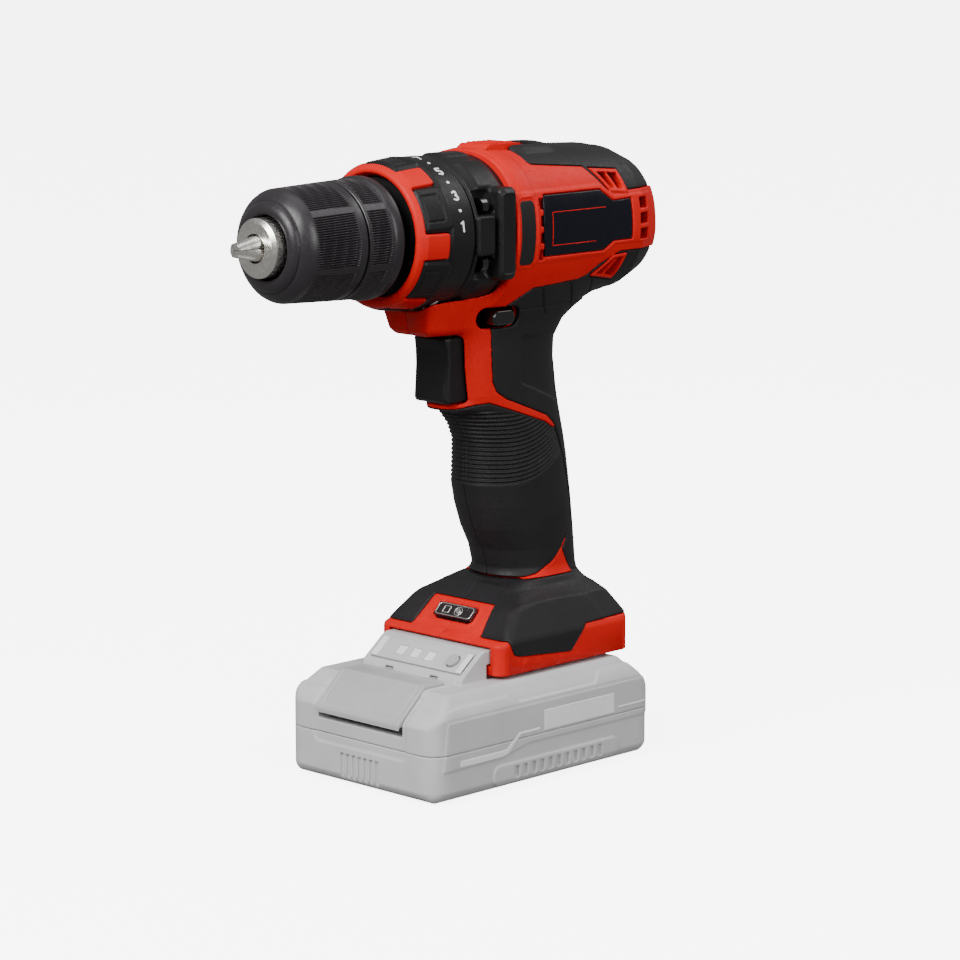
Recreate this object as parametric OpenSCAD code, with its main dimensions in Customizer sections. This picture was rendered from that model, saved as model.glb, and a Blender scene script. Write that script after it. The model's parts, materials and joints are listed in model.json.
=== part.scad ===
/* [Head] */
// Height of the spindle axis above the table
axis_z = 199.5; // [199:0.25:200]
// Radius of the motor barrel
barrel_r = 28.5; // [28.25:0.05:28.75]
// Rear end of the barrel, behind the axis origin
barrel_back = 76; // [74:0.5:77]
// Wall thickness of the shells
wall = 2.4; // [2.2:0.1:2.6]
// Thickness of the soft overmould
skin = 1; // [0.8:0.1:1.2]
/* [Chuck] */
// Radius of the front sleeve
sleeve_r = 20.8; // [20.6:0.1:21]
// Radius of one jaw rod
jaw_r = 3.3; // [3.2:0.05:3.35]
// Angle between a jaw and the spindle
jaw_tilt = 15; // [14.9:0.05:15.1]
// Point where a jaw axis crosses the spindle axis
jaw_cross = 110.3; // [110:0.1:110.5]
/* [Clutch] */
// Radius of the numbered collar
collar_r = 27.2; // [27:0.1:27.3]
// Number of raised collar grips
collar_grips = 6; // [5:1:7]
/* [Gears] */
// Tooth module of the first two stages
mod_a = 0.75; // [0.74:0.005:0.75]
// Tooth module of the output stage
mod_b = 0.8; // [0.79:0.005:0.8]
// Play between teeth
play = 0.16; // [0.14:0.01:0.2]
/* [Motor] */
// Radius of the motor can
can_r = 18.2; // [18:0.1:18.4]
// Radius of the motor shaft
shaft_r = 1.6; // [1.5:0.05:1.6]
/* [Foot and pack] */
// Half width of the foot
foot_hw = 31.5; // [31:0.25:32]
// Half length of the battery pack
pack_hl = 58.5; // [58:0.5:59]
// Half width of the battery pack
pack_hw = 39; // [38.5:0.25:39.5]
// Height of the battery deck
deck_z = 39.6; // [39.4:0.1:39.6]
/* [Hidden] */
$fn = 72;
spread = [0, 120, 240];
jaw_turn = -25;

// -------- helpers: X runs forward to the chuck, Y to the left, Z up --------
module on_axis() translate([0, 0, axis_z]) children();
module along_x() rotate([90, 0, 90]) children();
module bar(x0, x1, r) translate([x0, 0, 0]) rotate([0, 90, 0]) cylinder(h=x1 - x0, r=r);
module tube(x0, x1, r0, r1) difference() {
  bar(x0, x1, r1);
  bar(x0 - 1, x1 + 1, r0);
}
module turned(p) along_x() rotate_extrude() polygon(p);
module slab(x0, x1, y0, y1, z0, z1) translate([x0, y0, z0]) cube([x1 - x0, y1 - y0, z1 - z0]);
module side(hw, p) translate([0, hw, 0]) rotate([90, 0, 0]) linear_extrude(2 * hw) polygon(p);
module front(x0, x1, p) translate([x0, 0, 0]) along_x() linear_extrude(x1 - x0) polygon(p);
module round_plan(hx, hy, r) union() {
  square([2 * hx, 2 * (hy - r)], center=true);
  square([2 * (hx - r), 2 * hy], center=true);
  for (sx = [-1, 1], sy = [-1, 1]) translate([sx * (hx - r), sy * (hy - r)]) circle(r);
}
function mirrored(p) = concat(p, [for (i = [len(p) - 1:-1:0]) [-p[i][0], p[i][1]]]);

// -------- gears --------
function inv(a) = tan(a) - a * PI / 180;
function half_deg(z, m, r, gap) = (PI / (2 * z) - gap / (m * z) + inv(20)
  - inv(acos(min(1, m * z * cos(20) / (2 * r))))) * 180 / PI;
function tooth_ring(z, m, r0, r1, gap) = [for (i = [0:z - 1], s = [-1, 1], k = [0:3])
  let (r = s < 0 ? r0 + (r1 - r0) * k / 3 : r1 - (r1 - r0) * k / 3)
  let (a = i * 360 / z + s * half_deg(z, m, r, gap)) [r * cos(a), r * sin(a)]];
module spur(x0, x1, z, m, bore) translate([x0, 0, 0]) along_x() difference() {
  linear_extrude(x1 - x0) polygon(tooth_ring(z, m, m * (z / 2 - 1.25), m * (z / 2 + 0.94), play));
  translate([0, 0, -1]) cylinder(h=x1 - x0 + 2, r=bore);
}
module inner_teeth(x0, x1, z, m) translate([x0, 0, 0]) along_x() linear_extrude(x1 - x0)
  polygon(tooth_ring(z, m, m * (z / 2 - 0.94), m * (z / 2 + 1.2), -play));
module planet(x0, x1, z, m, k, arm) rotate([spread[k], 0, 0]) translate([0, arm, 0])
  spur(x0, x1, z, m, 1.56);
module carrier_pins(x0, x1, arm) for (a = spread) rotate([a, 0, 0]) translate([0, arm, 0])
  bar(x0, x1, 1.5);
arm_a = mod_a * 15;
arm_b = mod_b * 15;

// -------- chuck --------
module jaw_rod(r, back) translate([jaw_cross, 0, 0]) rotate([0, jaw_tilt - 90, 0])
  translate([0, 0, -7]) cylinder(h=back, r=r);
module chuck_body() color("silver") on_axis() difference() {
  turned([[0, 55], [16.9, 55], [16.9, 60], [18.15, 60], [18.15, 70], [17, 70], [17, 76.7],
    [10.4, 76.7], [10.4, 83.3], [15, 83.3], [15, 91.5], [10.4, 95.5], [10.4, 104.4], [9, 105.6],
    [0, 105.6]]);
  bar(78, 107, 5.15);
  bar(54, 72.5, 6.4);
  bar(72, 79, 3);
  for (a = spread) rotate([a + jaw_turn, 0, 0]) jaw_rod(jaw_r + 0.12, 80);
}
module chuck_screw() color("dimgray") on_axis() difference() {
  union() {
    bar(66, 79, 2.9);
    bar(78.1, 81.2, 3.9);
  }
  translate([79.4, 0, 0]) rotate([0, 90, 0]) cylinder(h=4, r=2.4, $fn=6);
}
module chuck_nut() color("goldenrod") on_axis() turned([[12.68, 77], [17.5, 77], [17.5, 83],
  [11.07, 83]]);
module knurl(x0, x1, r, n) for (i = [0:n - 1]) rotate([i * 360 / n, 0, 0])
  slab(x0, x1, -0.5, 0.5, r - 0.5, r + 2);
module chuck_sleeve() color("dimgray") on_axis() difference() {
  turned([[17.6, 71.2], [sleeve_r, 71.2], [sleeve_r, 74], [19.95, 94.7], [18.6, 97],
    [15.9, 99.4], [13, 101.4], [11, 101.4], [11, 96.6], [16, 92.6], [16, 84], [17.55, 83.5]]);
  knurl(75, 93, 20.3, 48);
}
module chuck_rear_sleeve() color("dimgray") on_axis() difference() {
  turned([[17.15, 54.8], [21.7, 54.8], [21.9, 55.8], [21.9, 58.5], [21.3, 59.4],
    [20.9, 70.6], [18.2, 70.6], [18.2, 56.6], [17.15, 56.6]]);
  knurl(60, 69, 21.1, 48);
}
module jaw(k) color("lightgray") on_axis() rotate([spread[k] + jaw_turn, 0, 0])
  intersection() {
    difference() {
      jaw_rod(jaw_r, 50);
      for (i = [0:8]) tube(77 + 1.9 * i, 78 + 1.9 * i, (jaw_cross - 77.5 - 1.9 * i)
        * tan(jaw_tilt) + jaw_r / cos(jaw_tilt) - 0.6, 30);
    }
    front(75.9, 114.6, [[0, 0.12], [20, 11.67], [20, 30], [-20, 30], [-20, 11.67]]);
  }
module jaw_1() jaw(0);
module jaw_2() jaw(1);
module jaw_3() jaw(2);

// -------- spindle, bearing and clutch --------
module spindle() color("gray") on_axis() union() {
  difference() {
    union() {
      bar(23.2, 27, 15.4);
      bar(26, 52, 6);
      bar(50, 70, 6.3);
      carrier_pins(16.2, 24, arm_b);
    }
    bar(64, 71, 2.95);
  }
}
module front_bearing() color("silver") on_axis() difference() {
  tube(40, 46, 6.05, 11.95);
  tube(39, 40.6, 8.2, 10.2);
  tube(45.4, 47, 8.2, 10.2);
}
module grip_slots(x0, x1, r, w, turn) for (i = [0:collar_grips - 1])
  rotate([turn + i * 360 / collar_grips, 0, 0]) slab(x0, x1, r, 40, -w, w);
module torque_collar() color("dimgray") on_axis() difference() {
  union() {
    turned([[23.9, 25.2], [collar_r - 0.6, 25.2], [collar_r, 25.8], [collar_r, 36],
      [collar_r - 0.7, 36.8], [25.8, 49], [25.2, 49.6], [23.9, 49.6]]);
    intersection() {
      turned([[24, 38.5], [collar_r, 38.5], [26.2, 47.5], [24, 48.2]]);
      grip_slots(38, 49, 10, 5.2, 25);
    }
  }
  grip_slots(37, 52, 10, 4.6, -5);
}
module collar_insert() color("red") on_axis() difference() {
  union() {
    turned([[21.3, 30.3], [23.8, 30.3], [23.8, 49.8], [25.2, 49.8], [24.2, 52.7], [22.6, 52.7],
      [21.3, 50]]);
    intersection() {
      turned([[23, 37.3], [26.4, 37.3], [25.7, 49.8], [23, 49.8]]);
      grip_slots(37.2, 50, 10, 4.3, -5);
    }
  }
  for (a = spread) rotate([a, 0, 0]) slab(29, 50.5, 10, 22.6, -3.2, 3.2);
}
module torque_nut() color("khaki") on_axis() difference() {
  union() {
    bar(44, 48, 21);
    for (a = spread) rotate([a, 0, 0]) slab(44, 48, 19, 22.2, -2.8, 2.8);
  }
  bar(43, 49, 15.3);
}
module clutch_spring() color("silver") on_axis() for (i = [0:3]) translate([34 + 2.9 * i, 0, 0])
  along_x() rotate_extrude() translate([18.1, 0]) circle(0.9, $fn=12);
module clutch_washer() color("silver") on_axis() tube(31, 32.8, 15.6, 20.6);
module clutch_pins() color("silver") on_axis() for (i = [0:5]) rotate([60 * i + 30, 0, 0])
  translate([0, 18, 0]) bar(23.3, 31, 1.55);

// -------- gearbox --------
module gearbox_housing() color("dimgray") on_axis() difference() {
  union() {
    turned([[20.1, -8], [22.6, -8], [22.6, 5.4], [26.6, 5.4], [27, 5.8], [27, 21.6],
      [25.6, 24.8], [23.2, 25], [23.2, 30], [15, 30], [15, 50.5], [12, 50.5], [12, 38],
      [6.08, 38], [6.08, 27.6], [20.1, 27.6]]);
    tube(23.8, 28.4, 16, 21);
    difference() {
      bar(-5, 1, 21);
      inner_teeth(-6, 2, 45, mod_a);
    }
  }
  for (s = [-1, 1], a = [-24, 24]) rotate([s < 0 ? 180 - a : a, 0, 0]) {
    translate([0, 25.8, 0]) bar(17.5, 27, 4.6);
    translate([0, 24.6, 0]) bar(4, 19, 1.6);
  }
  for (i = [0:5]) rotate([60 * i + 30, 0, 0]) translate([0, 18, 0]) bar(20, 30, 1.6);
  slab(1.4, 14, -1.4, 1.4, 19, 30);
}
module gearbox_screws() color("silver") on_axis() for (s = [-1, 1], a = [-24, 24])
  rotate([s < 0 ? 180 - a : a, 0, 0]) translate([0, 24.6, 0]) difference() {
    union() {
      bar(8, 18, 1.5);
      bar(17.5, 20.3, 3.2);
    }
    slab(19, 21, -0.5, 0.5, -1.9, 1.9);
    slab(19, 21, -1.9, 1.9, -0.5, 0.5);
  }
module gearbox_plate() color("gray") on_axis() difference() {
  bar(-7.9, -5.3, 20);
  bar(-9, -5, 6.6);
  for (a = [45:90:315]) rotate([a, 0, 0]) translate([0, 12.5, 0]) bar(-9, -5, 1.6);
}
module ring_gear_2() color("silver") on_axis() difference() {
  bar(7, 13, 19.5);
  tube(9, 11, 18.3, 21);
  inner_teeth(6, 14, 45, mod_a);
}
module ring_gear_3() color("silver") on_axis() difference() {
  bar(14.3, 22.8, 19.9);
  inner_teeth(14, 23, 42, mod_b);
}
module carrier_1() color("gray") on_axis() union() {
  difference() {
    bar(1.6, 4.6, 15.4);
    bar(1, 3, 2);
  }
  carrier_pins(-4.3, 2, arm_a);
  translate([4, 0, 0]) spur(0, 8.4, 15, mod_a, 0.8);
}
module carrier_2() color("gray") on_axis() union() {
  bar(12.9, 15.7, 15.4);
  carrier_pins(5.7, 13.2, arm_a);
  rotate([10, 0, 0]) spur(15.4, 22.6, 18, mod_b, 0.8);
}
module planet_1(k) color("lightgray") on_axis() planet(-4.5, 1.2, 15, mod_a, k, arm_a);
module planet_2(k) color("lightgray") on_axis() planet(5.4, 12.4, 15, mod_a, k, arm_a);
module planet_3(k) color("lightgray") on_axis() planet(16.2, 22.6, 12, mod_b, k, arm_b);

// -------- motor --------
module motor_can() color("silver") on_axis() difference() {
  union() {
    difference() {
      bar(-60, -10, can_r);
      bar(-61, -11.5, can_r - 1.4);
    }
    bar(-11, -7.9, 6.5);
    for (s = [0, 180]) rotate([s, 0, 0]) intersection() {
      tube(-50, -16, can_r - 2.9, can_r - 1.2);
      slab(-51, -15, 2.5, 20, -20, 20);
    }
  }
  bar(-12, -6, shaft_r + 0.06);
  for (s = [0, 180], a = [50, 90, 130]) rotate([a + s, 0, 0]) slab(-13, -9, 8, 13, -2.4, 2.4);
}
module motor_end_cap() color("dimgray") on_axis() difference() {
  union() {
    bar(-63, -60, can_r);
    tube(-60.5, -51.5, can_r - 3.4, can_r - 1.5);
    bar(-67, -63, 5);
    for (s = [-1, 1]) slab(-60, -52.2, s < 0 ? -16 : 5.5, s < 0 ? -5.5 : 16, -3.4, 3.4);
  }
  bar(-70, -50, shaft_r + 0.06);
  bar(-60, -50, 5.4);
  slab(-58.2, -53.4, -17, 17, -2.1, 2.1);
  for (a = [60, 120, 240, 300]) rotate([a, 0, 0]) slab(-64, -59, 8, 13, -2.2, 2.2);
}
module carbon_brushes() color("black") on_axis() for (s = [-1, 1])
  slab(-58, -53.6, s < 0 ? -13 : 4.75, s < 0 ? -4.75 : 13, -2, 2);
module rotor_shaft() color("silver") on_axis() bar(-66.5, 1.2, shaft_r);
module rotor_core() color("chocolate") on_axis() difference() {
  bar(-49, -17, 14.6);
  bar(-50, -16, shaft_r);
  for (i = [0:4]) rotate([72 * i, 0, 0]) slab(-50, -16, 13, 16, -1, 1);
  for (i = [0:4]) rotate([72 * i, 0, 0]) translate([0, 9.6, 0]) bar(-51, -43, 2.4);
  for (i = [0:4]) rotate([72 * i, 0, 0]) translate([0, 9.6, 0]) bar(-22, -16, 2.4);
}
module commutator() color("peru") on_axis() difference() {
  bar(-59, -52.5, 4.5);
  bar(-60, -50, shaft_r);
  for (i = [0:4]) rotate([72 * i + 30, 0, 0]) slab(-60, -52, 3.4, 5, -0.3, 0.3);
}
module motor_pinion() color("silver") on_axis() spur(-5.1, 1.2, 15, mod_a, shaft_r);

// -------- housing --------
GRIP = [[60, -8, -48], [68, -8, -48], [73, -8, -47.6], [80, -6, -47.3], [88, -1, -46.6],
  [97, 2.4, -45.4], [105, 4.2, -44.2], [113, 3.6, -42.8], [121, 4, -41], [127, 8, -39.8],
  [132, 12, -38.7], [136, 13.4, -37.8], [150, 14, -35.8], [160, 14, -36.6], [168, 14, -46],
  [176, 14, -58]];
function grip_side(d) = concat([for (g = GRIP) [g[1] - d, g[0]]],
  [for (i = [len(GRIP) - 1:-1:0]) [GRIP[i][2] + d, GRIP[i][0]]]);
function oval(a, b) = [for (t = [0:9:351]) let (c = cos(t), s = sin(t))
  [a * sign(c) * pow(abs(c), 0.78), b * sign(s) * pow(abs(s), 0.78)]];
module barrel(d) on_axis() turned([[0, 5.4], [barrel_r - d, 5.4], [barrel_r - d, -62],
  [barrel_r - 0.8 - d, -68], [barrel_r - 3 - d, -72.5], [barrel_r - 7 - d, 1 - barrel_back + d],
  [barrel_r - 12 - d, d - barrel_back], [0, d - barrel_back]]);
module handle(d) intersection() {
  side(20, grip_side(d));
  translate([-26.6, 0, 60]) multmatrix([[1, 0, 0.148, 0], [0, 1, 0, 0],
    [0, 0, 1, 0]]) linear_extrude(118) polygon(oval(31 - d, 17.2 - d));
}
module chin(d) intersection() {
  side(30, [[5.4, 205 - d], [5.4, 162 + d], [14, 162 + d], [30.5 - d, 162.6 + d],
    [33 - d, 168], [34.4 - d, 175.5], [34.4 - d, 205 - d]]);
  front(-30, 60, mirrored([[10.8 - d, 162 + d], [13.6 - d, 166], [16 - d, 176], [16 - d, 180]]));
}
module cheek(d) intersection() {
  side(16.4 - d, [[14 - d, 180], [-20, 180], [-20, 134 + d], [8, 134 + d], [12 - d, 135.5 + d],
    [19 - d, 136.5 + d], [19 - d, 138 + d], [15.5 - d, 142], [15.5 - d, 158], [19 - d, 164]]);
  translate([-3, 0, 120]) linear_extrude(70) polygon(oval(25 - d, 16.4 - d));
}
module foot(d) intersection() {
  side(foot_hw - d, [[17 - d, deck_z], [17 - d, 51 - d], [12.5 - d, 53 - d], [3.5 - d, 62 - d],
    [-5, 69.5 - d], [-44 + d, 66 - d], [-54 + d, 52 - d], [-54 + d, deck_z]]);
  front(-60, 30, mirrored([[foot_hw - d, deck_z], [foot_hw - d, 50.5 - d], [25.5 - d, 62 - d],
    [17 - d, 70 - d]]));
}
module form(d) union() {
  barrel(d);
  handle(d);
  chin(d);
  cheek(d);
  foot(d);
}
module hollow(d) {
  barrel(d);
  handle(d);
  chin(d);
  cheek(d);
  intersection() {
    foot(d);
    slab(-90, 40, -40, 40, 52.2, 90);
  }
}
module form_cuts() {
  on_axis() bar(5.2, 70, 28.1);
  on_axis() bar(-9, 6, 22.7);
  slab(-51, 18, -26.2, 26.2, 43.2, 49.6);
  slab(-51, 18, -22, 22, 30, 43.3);
  slab(3, 40, -9.4, 9.4, 137.8, 161.6);
  slab(-6.5, 11.5, -30, 30, 164.4, 171.6);
  slab(-26, 1, -8, 8, axis_z + 26.2, 250);
  slab(-20, 5.5, -4, 4, axis_z + 22, axis_z + 27);
  side(9.5, [[3, 57.3], [7.8, 52.5], [11.9, 56.6], [7.1, 61.4]]);
  side(8.2, [[-0.8, 58.1], [3.8, 53.5], [5.35, 55.05], [0.75, 59.65]]);
  for (s = [-1, 1], i = [0:3]) slab(-8.2, -6.4, s < 0 ? -32 : 20, s < 0 ? -20 : 32,
    188.5 + 6.2 * i, 192.2 + 6.2 * i);
  for (s = [-1, 1], i = [0:2]) slab(-65, -60.4, s < 0 ? -32 : 20, s < 0 ? -20 : 32,
    193.4 + 5.6 * i, 197 + 5.6 * i);
}
LOOP = [[7, 175.6], [8.4, 164], [8.4, 145], [6, 139.6], [-23, 129], [-28.5, 119], [-35, 104],
  [-37.5, 91], [-34, 80], [-30, 67], [-70, 67], [-70, 150], [-90, 189], [-90, 250], [-27, 250],
  [-27, 222], [-33, 221.4], [-46, 210.6], [-70.5, 210.6], [-71.5, 189.4], [-50, 189.4],
  [-41, 184.4], [-36, 181.2], [-32, 180.2], [-5, 180.2]];
PALM = [[14.4, 135.6], [6, 136.2], [-21, 126.4], [-26.4, 117], [-32.8, 103], [-35, 91],
  [-31, 84], [-12, 69.5], [20, 69.5], [20, 120]];
SKIRT = [[4, 62.6], [11, 52.4], [11, 47], [-20, 45], [-29, 52.4], [-60, 52.4], [-60, 72],
  [-2, 72]];
module regions() {
  side(40, LOOP);
  side(40, PALM);
  difference() {
    side(40, SKIRT);
    side(16.8, [[-1, 75], [20, 75], [20, 40], [-1, 57]]);
  }
}
module badge_area(g) side(40, [[-9 - g, 212 - g], [-40, 212 - g], [-46, 207.4 - g],
  [-55.6 + g, 208 - g], [-55.6 + g, 193 + g], [-46, 193 + g], [-41, 190 + g], [-9 - g, 190 + g]]);
module pad_area() side(40, [[-2, 212], [5.4, 212], [5.4, 187], [1, 187], [-2, 190]]);
module half(s) slab(-90, 70, s < 0 ? -45 : 0, s < 0 ? 0 : 45, 30, 240);
SCREWS = [[-38, 74], [-19, 74], [-30, 122], [-48, 176.7], [17, 167.4]];
module at_screws(y) for (p = SCREWS) translate([p[0], y, p[1]]) rotate([-90, 0, 0])
  children();
module bosses(s) intersection() {
  form(1);
  at_screws(s < 0 ? -20 : 0.02) cylinder(h=19.98, r=s < 0 ? 4.4 : 3.4);
}
module screw_bores(s) {
  at_screws(s < 0 ? -12 : -1) cylinder(h=s < 0 ? 13 : 7, r=1.56);
  if (s < 0) at_screws(-40) cylinder(h=29.05, r=3.15);
}
module shell(s) difference() {
  union() {
    walls(s);
    bosses(s);
  }
  form_cuts();
  screw_bores(s);
}
module walls(s) difference() {
  intersection() {
    half(s);
    difference() {
      form(0);
      difference() {
        intersection() {
          regions();
          form(0);
        }
        form(skin);
      }
    }
  }
  hollow(wall + skin);
  form_cuts();
  difference() {
    badge_area(0);
    on_axis() bar(-90, 10, barrel_r - 0.7);
    slab(-80, 20, -20, 20, 180, 230);
  }
}
module left_housing() color("crimson") shell(1);
module right_housing() color("crimson") shell(-1);
module overmould(s) difference() {
  intersection() {
    form(0);
    regions();
    half(s);
  }
  form(skin);
  form_cuts();
  screw_bores(s);
}
module left_overmould() color("dimgray") overmould(1);
module right_overmould() color("dimgray") overmould(-1);
module side_badges() color("midnightblue") intersection() {
  on_axis() difference() {
    bar(-90, 10, barrel_r + 0.2);
    bar(-91, 11, barrel_r - 0.65);
  }
  badge_area(0.1);
  union() {
    slab(-80, 20, 20, 40, 180, 230);
    slab(-80, 20, -40, -20, 180, 230);
  }
}

module housing_screws() color("silver") at_screws(-13.4) difference() {
  union() {
    cylinder(h=2.4, r=3);
    cylinder(h=18, r=1.5);
  }
  translate([0, 0, -1]) cylinder(h=2, r=1.6, $fn=6);
}

// -------- controls --------
module gear_selector() color("dimgray") on_axis() difference() {
  union() {
    side(7.4, [[-19.5, 26.6], [0.4, 26.6], [0.4, 28.4], [-1.8, 29.8], [-17, 29.8],
      [-19.5, 28.6]]);
    slab(-14, 3.4, -3.4, 3.4, 23.2, 26.7);
    for (i = [0:4]) slab(-15 + 2.6 * i, -13.9 + 2.6 * i, -6, 6, 29, 30.3);
  }
  translate([0, 0, 24.7]) bar(-4.6, 5, 0.75);
}
module shift_wire() color("silver") on_axis() union() {
  translate([10, 0, 0]) along_x() intersection() {
    rotate_extrude() translate([19.1, 0]) circle(0.7);
    translate([-25, 0, -2]) cube([50, 25, 4]);
  }
  translate([10, 0, 0]) difference() {
    cylinder(h=25.2, r=0.7);
    cylinder(h=19, r=2);
  }
  translate([0, 0, 24.7]) bar(-4.5, 10.6, 0.7);
}
module direction_lever() color("black") translate([2.5, 0, 165.2]) difference() {
  union() {
    translate([0, 0, 2.85]) cube([5, 36, 5.7], center=true);
    cylinder(h=5.7, r=4.5);
    for (s = [-1, 1]) translate([0, s * 16.6, 2.85]) cube([11.4, 5.2, 5.7], center=true);
  }
  translate([0, 0, -1]) cylinder(h=8, r=1.6);
}
module trigger() color("dimgray") union() {
  intersection() {
    side(9, [[10, 144], [10.6, 138.6], [20.8, 138.2], [22.6, 139.6], [21.3, 145.5], [20.6, 151],
      [21, 156.6], [22.5, 161], [21.5, 161.2], [10, 161.2]]);
    translate([8, 0, 130]) linear_extrude(40) round_plan(14.6, 9, 3);
  }
  translate([0, 0, 151]) bar(-8, 12, 3);
}
module switch_module() color("dimgray") difference() {
  union() {
    slab(-28, 2, -9, 9, 140, 162);
    slab(-24, -4, -6, 6, 134, 141);
  }
  translate([0, 0, 151]) bar(-16, 3, 3.2);
}
module led_lens() color("lightcyan") side(9.3, [[3.6, 57.1], [7.6, 53.1], [11, 56.5], [7, 60.5]]);
module led_board() color("green") union() {
  side(8, [[-0.6, 58.1], [3.8, 53.7], [4.9, 54.8], [0.5, 59.2]]);
  for (s = [0, 1]) translate([2.4, -4 + 8 * s, 56.7]) rotate([0, 45, 0]) cylinder(h=0.8, r=1.7);
}
BLADES = [-15, -7.5, 0, 7.5, 15];
module terminal_block() color("dimgray") union() {
  slab(-50.6, -38.6, -20, 20, 43.9, 49.5);
  for (y = BLADES) slab(-40, -27, y - 0.4, y + 0.4, 44, 48);
}

// -------- battery pack --------
module pack_form(d) intersection() {
  linear_extrude(60) round_plan(pack_hl - d, pack_hw - d, 9 - d);
  side(50, [[-pack_hl + 5, d], [pack_hl - 4, d], [pack_hl - d, 4 + d], [pack_hl - d, 28],
    [46 - d, deck_z - 0.2 - d], [-44 + d, deck_z - 0.2 - d], [-pack_hl + d, 24 - d],
    [-pack_hl + d, 5 + d]]);
  front(-70, 70, mirrored([[pack_hw - 4, d], [pack_hw - d, 4 + d], [pack_hw - d, 31],
    [pack_hw - 6 - d, deck_z - 0.2 - d]]));
}
module battery_lower_case() color("gainsboro") difference() {
  intersection() {
    pack_form(0);
    slab(-70, 70, -50, 50, -1, 18);
  }
  intersection() {
    pack_form(2.4);
    slab(-70, 70, -50, 50, 2.4, 19);
  }
  for (i = [0:10], s = [-1, 1]) slab(-29 + 4.4 * i, -27 + 4.4 * i, s < 0 ? -40 : 38,
    s < 0 ? -38 : 40, 4.5, 7.2);
  for (i = [0:6]) slab(57.3, 60, -9.9 + 3 * i, -8.1 + 3 * i, 3, 12);
}
module battery_upper_case() color("lightgray") difference() {
  union() {
    intersection() {
      pack_form(0);
      slab(-70, 70, -50, 50, 18, 60);
    }
    intersection() {
      side(25.6, [[-37, 38], [-37, 48.9], [20.5, 48.9], [31, 40.6], [31, 38]]);
      union() {
        slab(-40, 40, -25.6, 25.6, 43.7, 60);
        slab(-40, 40, -21.4, 21.4, 38, 44);
        slab(18.4, 40, -25.6, 25.6, 38, 44);
      }
    }
  }
  intersection() {
    pack_form(3);
    slab(-70, 70, -50, 50, 17, 22);
  }
  slab(-42, 30, -33, 33, 22, 36.6);
  side(22, [[35.8, 45], [35.8, 32.4], [42, 32.4], [51.8, 23.1], [60, 23.1], [60, 45]]);
  for (s = [-13.6, 9.4]) {
    slab(8.4, 37, s, s + 4.2, 32.6, 39.5);
    slab(8.4, 13.6, s, s + 4.2, 32.6, 60);
  }
  for (y = BLADES) slab(-38, -24, y - 1.7, y + 1.7, 30, 60);
  side(23.4, [[22.4, 48.6], [30.4, 42.2], [29, 40.5], [21, 46.9]]);
  translate([25.8, 16, 44.7]) rotate([0, 38.3, 0]) translate([0, 0, -4]) cylinder(h=6, r=3);
}
module battery_cells() color("steelblue") for (i = [-2:2]) translate([19.1 * i, -32.5, 12.3])
  rotate([-90, 0, 0]) cylinder(h=65, r=9.1);
module battery_terminals() color("goldenrod") union() {
  slab(-41, 6, -30, 30, 26.4, 28);
  for (y = BLADES, s = [-1.35, 0.75]) slab(-36, -25, y + s, y + s + 0.6, 27.5, 47);
}
module battery_release_button() color("gray") union() {
  side(21.6, [[36.2, 39.8], [46, 39.8], [58.3, 28.6], [58.3, 26.4], [54, 26.4], [43, 36.6],
    [36.2, 36.6]]);
  for (s = [-13, 10]) {
    slab(9.2, 37, s, s + 3, 36.8, 39);
    slab(9.2, 12.8, s, s + 3, 36.8, 49.3);
  }
}
module gauge_panel() color("gainsboro") difference() {
  side(23.2, [[21.95, 48], [29.65, 41.85], [28.85, 40.7], [21.15, 46.95]]);
  translate([25.8, 16, 44.7]) rotate([0, 38.3, 0]) translate([0, 0, -4]) cylinder(h=6, r=3);
  for (i = [0:2]) translate([25.8, -13 + 7.5 * i, 44.7]) rotate([0, 38.3, 0])
    translate([-2.2, 0, -0.4]) cube([4.4, 4.4, 2]);
}
module gauge_button() color("gray") translate([25.8, 16, 44.7]) rotate([0, 38.3, 0])
  translate([0, 0, -2]) cylinder(h=3.1, r=2.6);

chuck_body();
chuck_screw();
chuck_nut();
chuck_sleeve();
chuck_rear_sleeve();
jaw_1();
jaw_2();
jaw_3();
spindle();
front_bearing();
torque_collar();
collar_insert();
torque_nut();
clutch_spring();
clutch_washer();
clutch_pins();
gearbox_housing();
gearbox_screws();
gearbox_plate();
ring_gear_2();
ring_gear_3();
carrier_1();
carrier_2();
planet_1(0);  // planet_1a
planet_1(1);  // planet_1b
planet_1(2);  // planet_1c
planet_2(0);  // planet_2a
planet_2(1);  // planet_2b
planet_2(2);  // planet_2c
planet_3(0);  // planet_3a
planet_3(1);  // planet_3b
planet_3(2);  // planet_3c
motor_can();
motor_end_cap();
carbon_brushes();
rotor_shaft();
rotor_core();
commutator();
motor_pinion();
left_housing();
right_housing();
left_overmould();
right_overmould();
side_badges();
housing_screws();
gear_selector();
shift_wire();
direction_lever();
trigger();
switch_module();
led_lens();
led_board();
terminal_block();
battery_lower_case();
battery_upper_case();
battery_cells();
battery_terminals();
battery_release_button();
gauge_panel();
gauge_button();
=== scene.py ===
"""Cordless drill driver: the visual model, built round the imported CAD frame. Lengths inside are in mm."""
import json
import math

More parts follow.
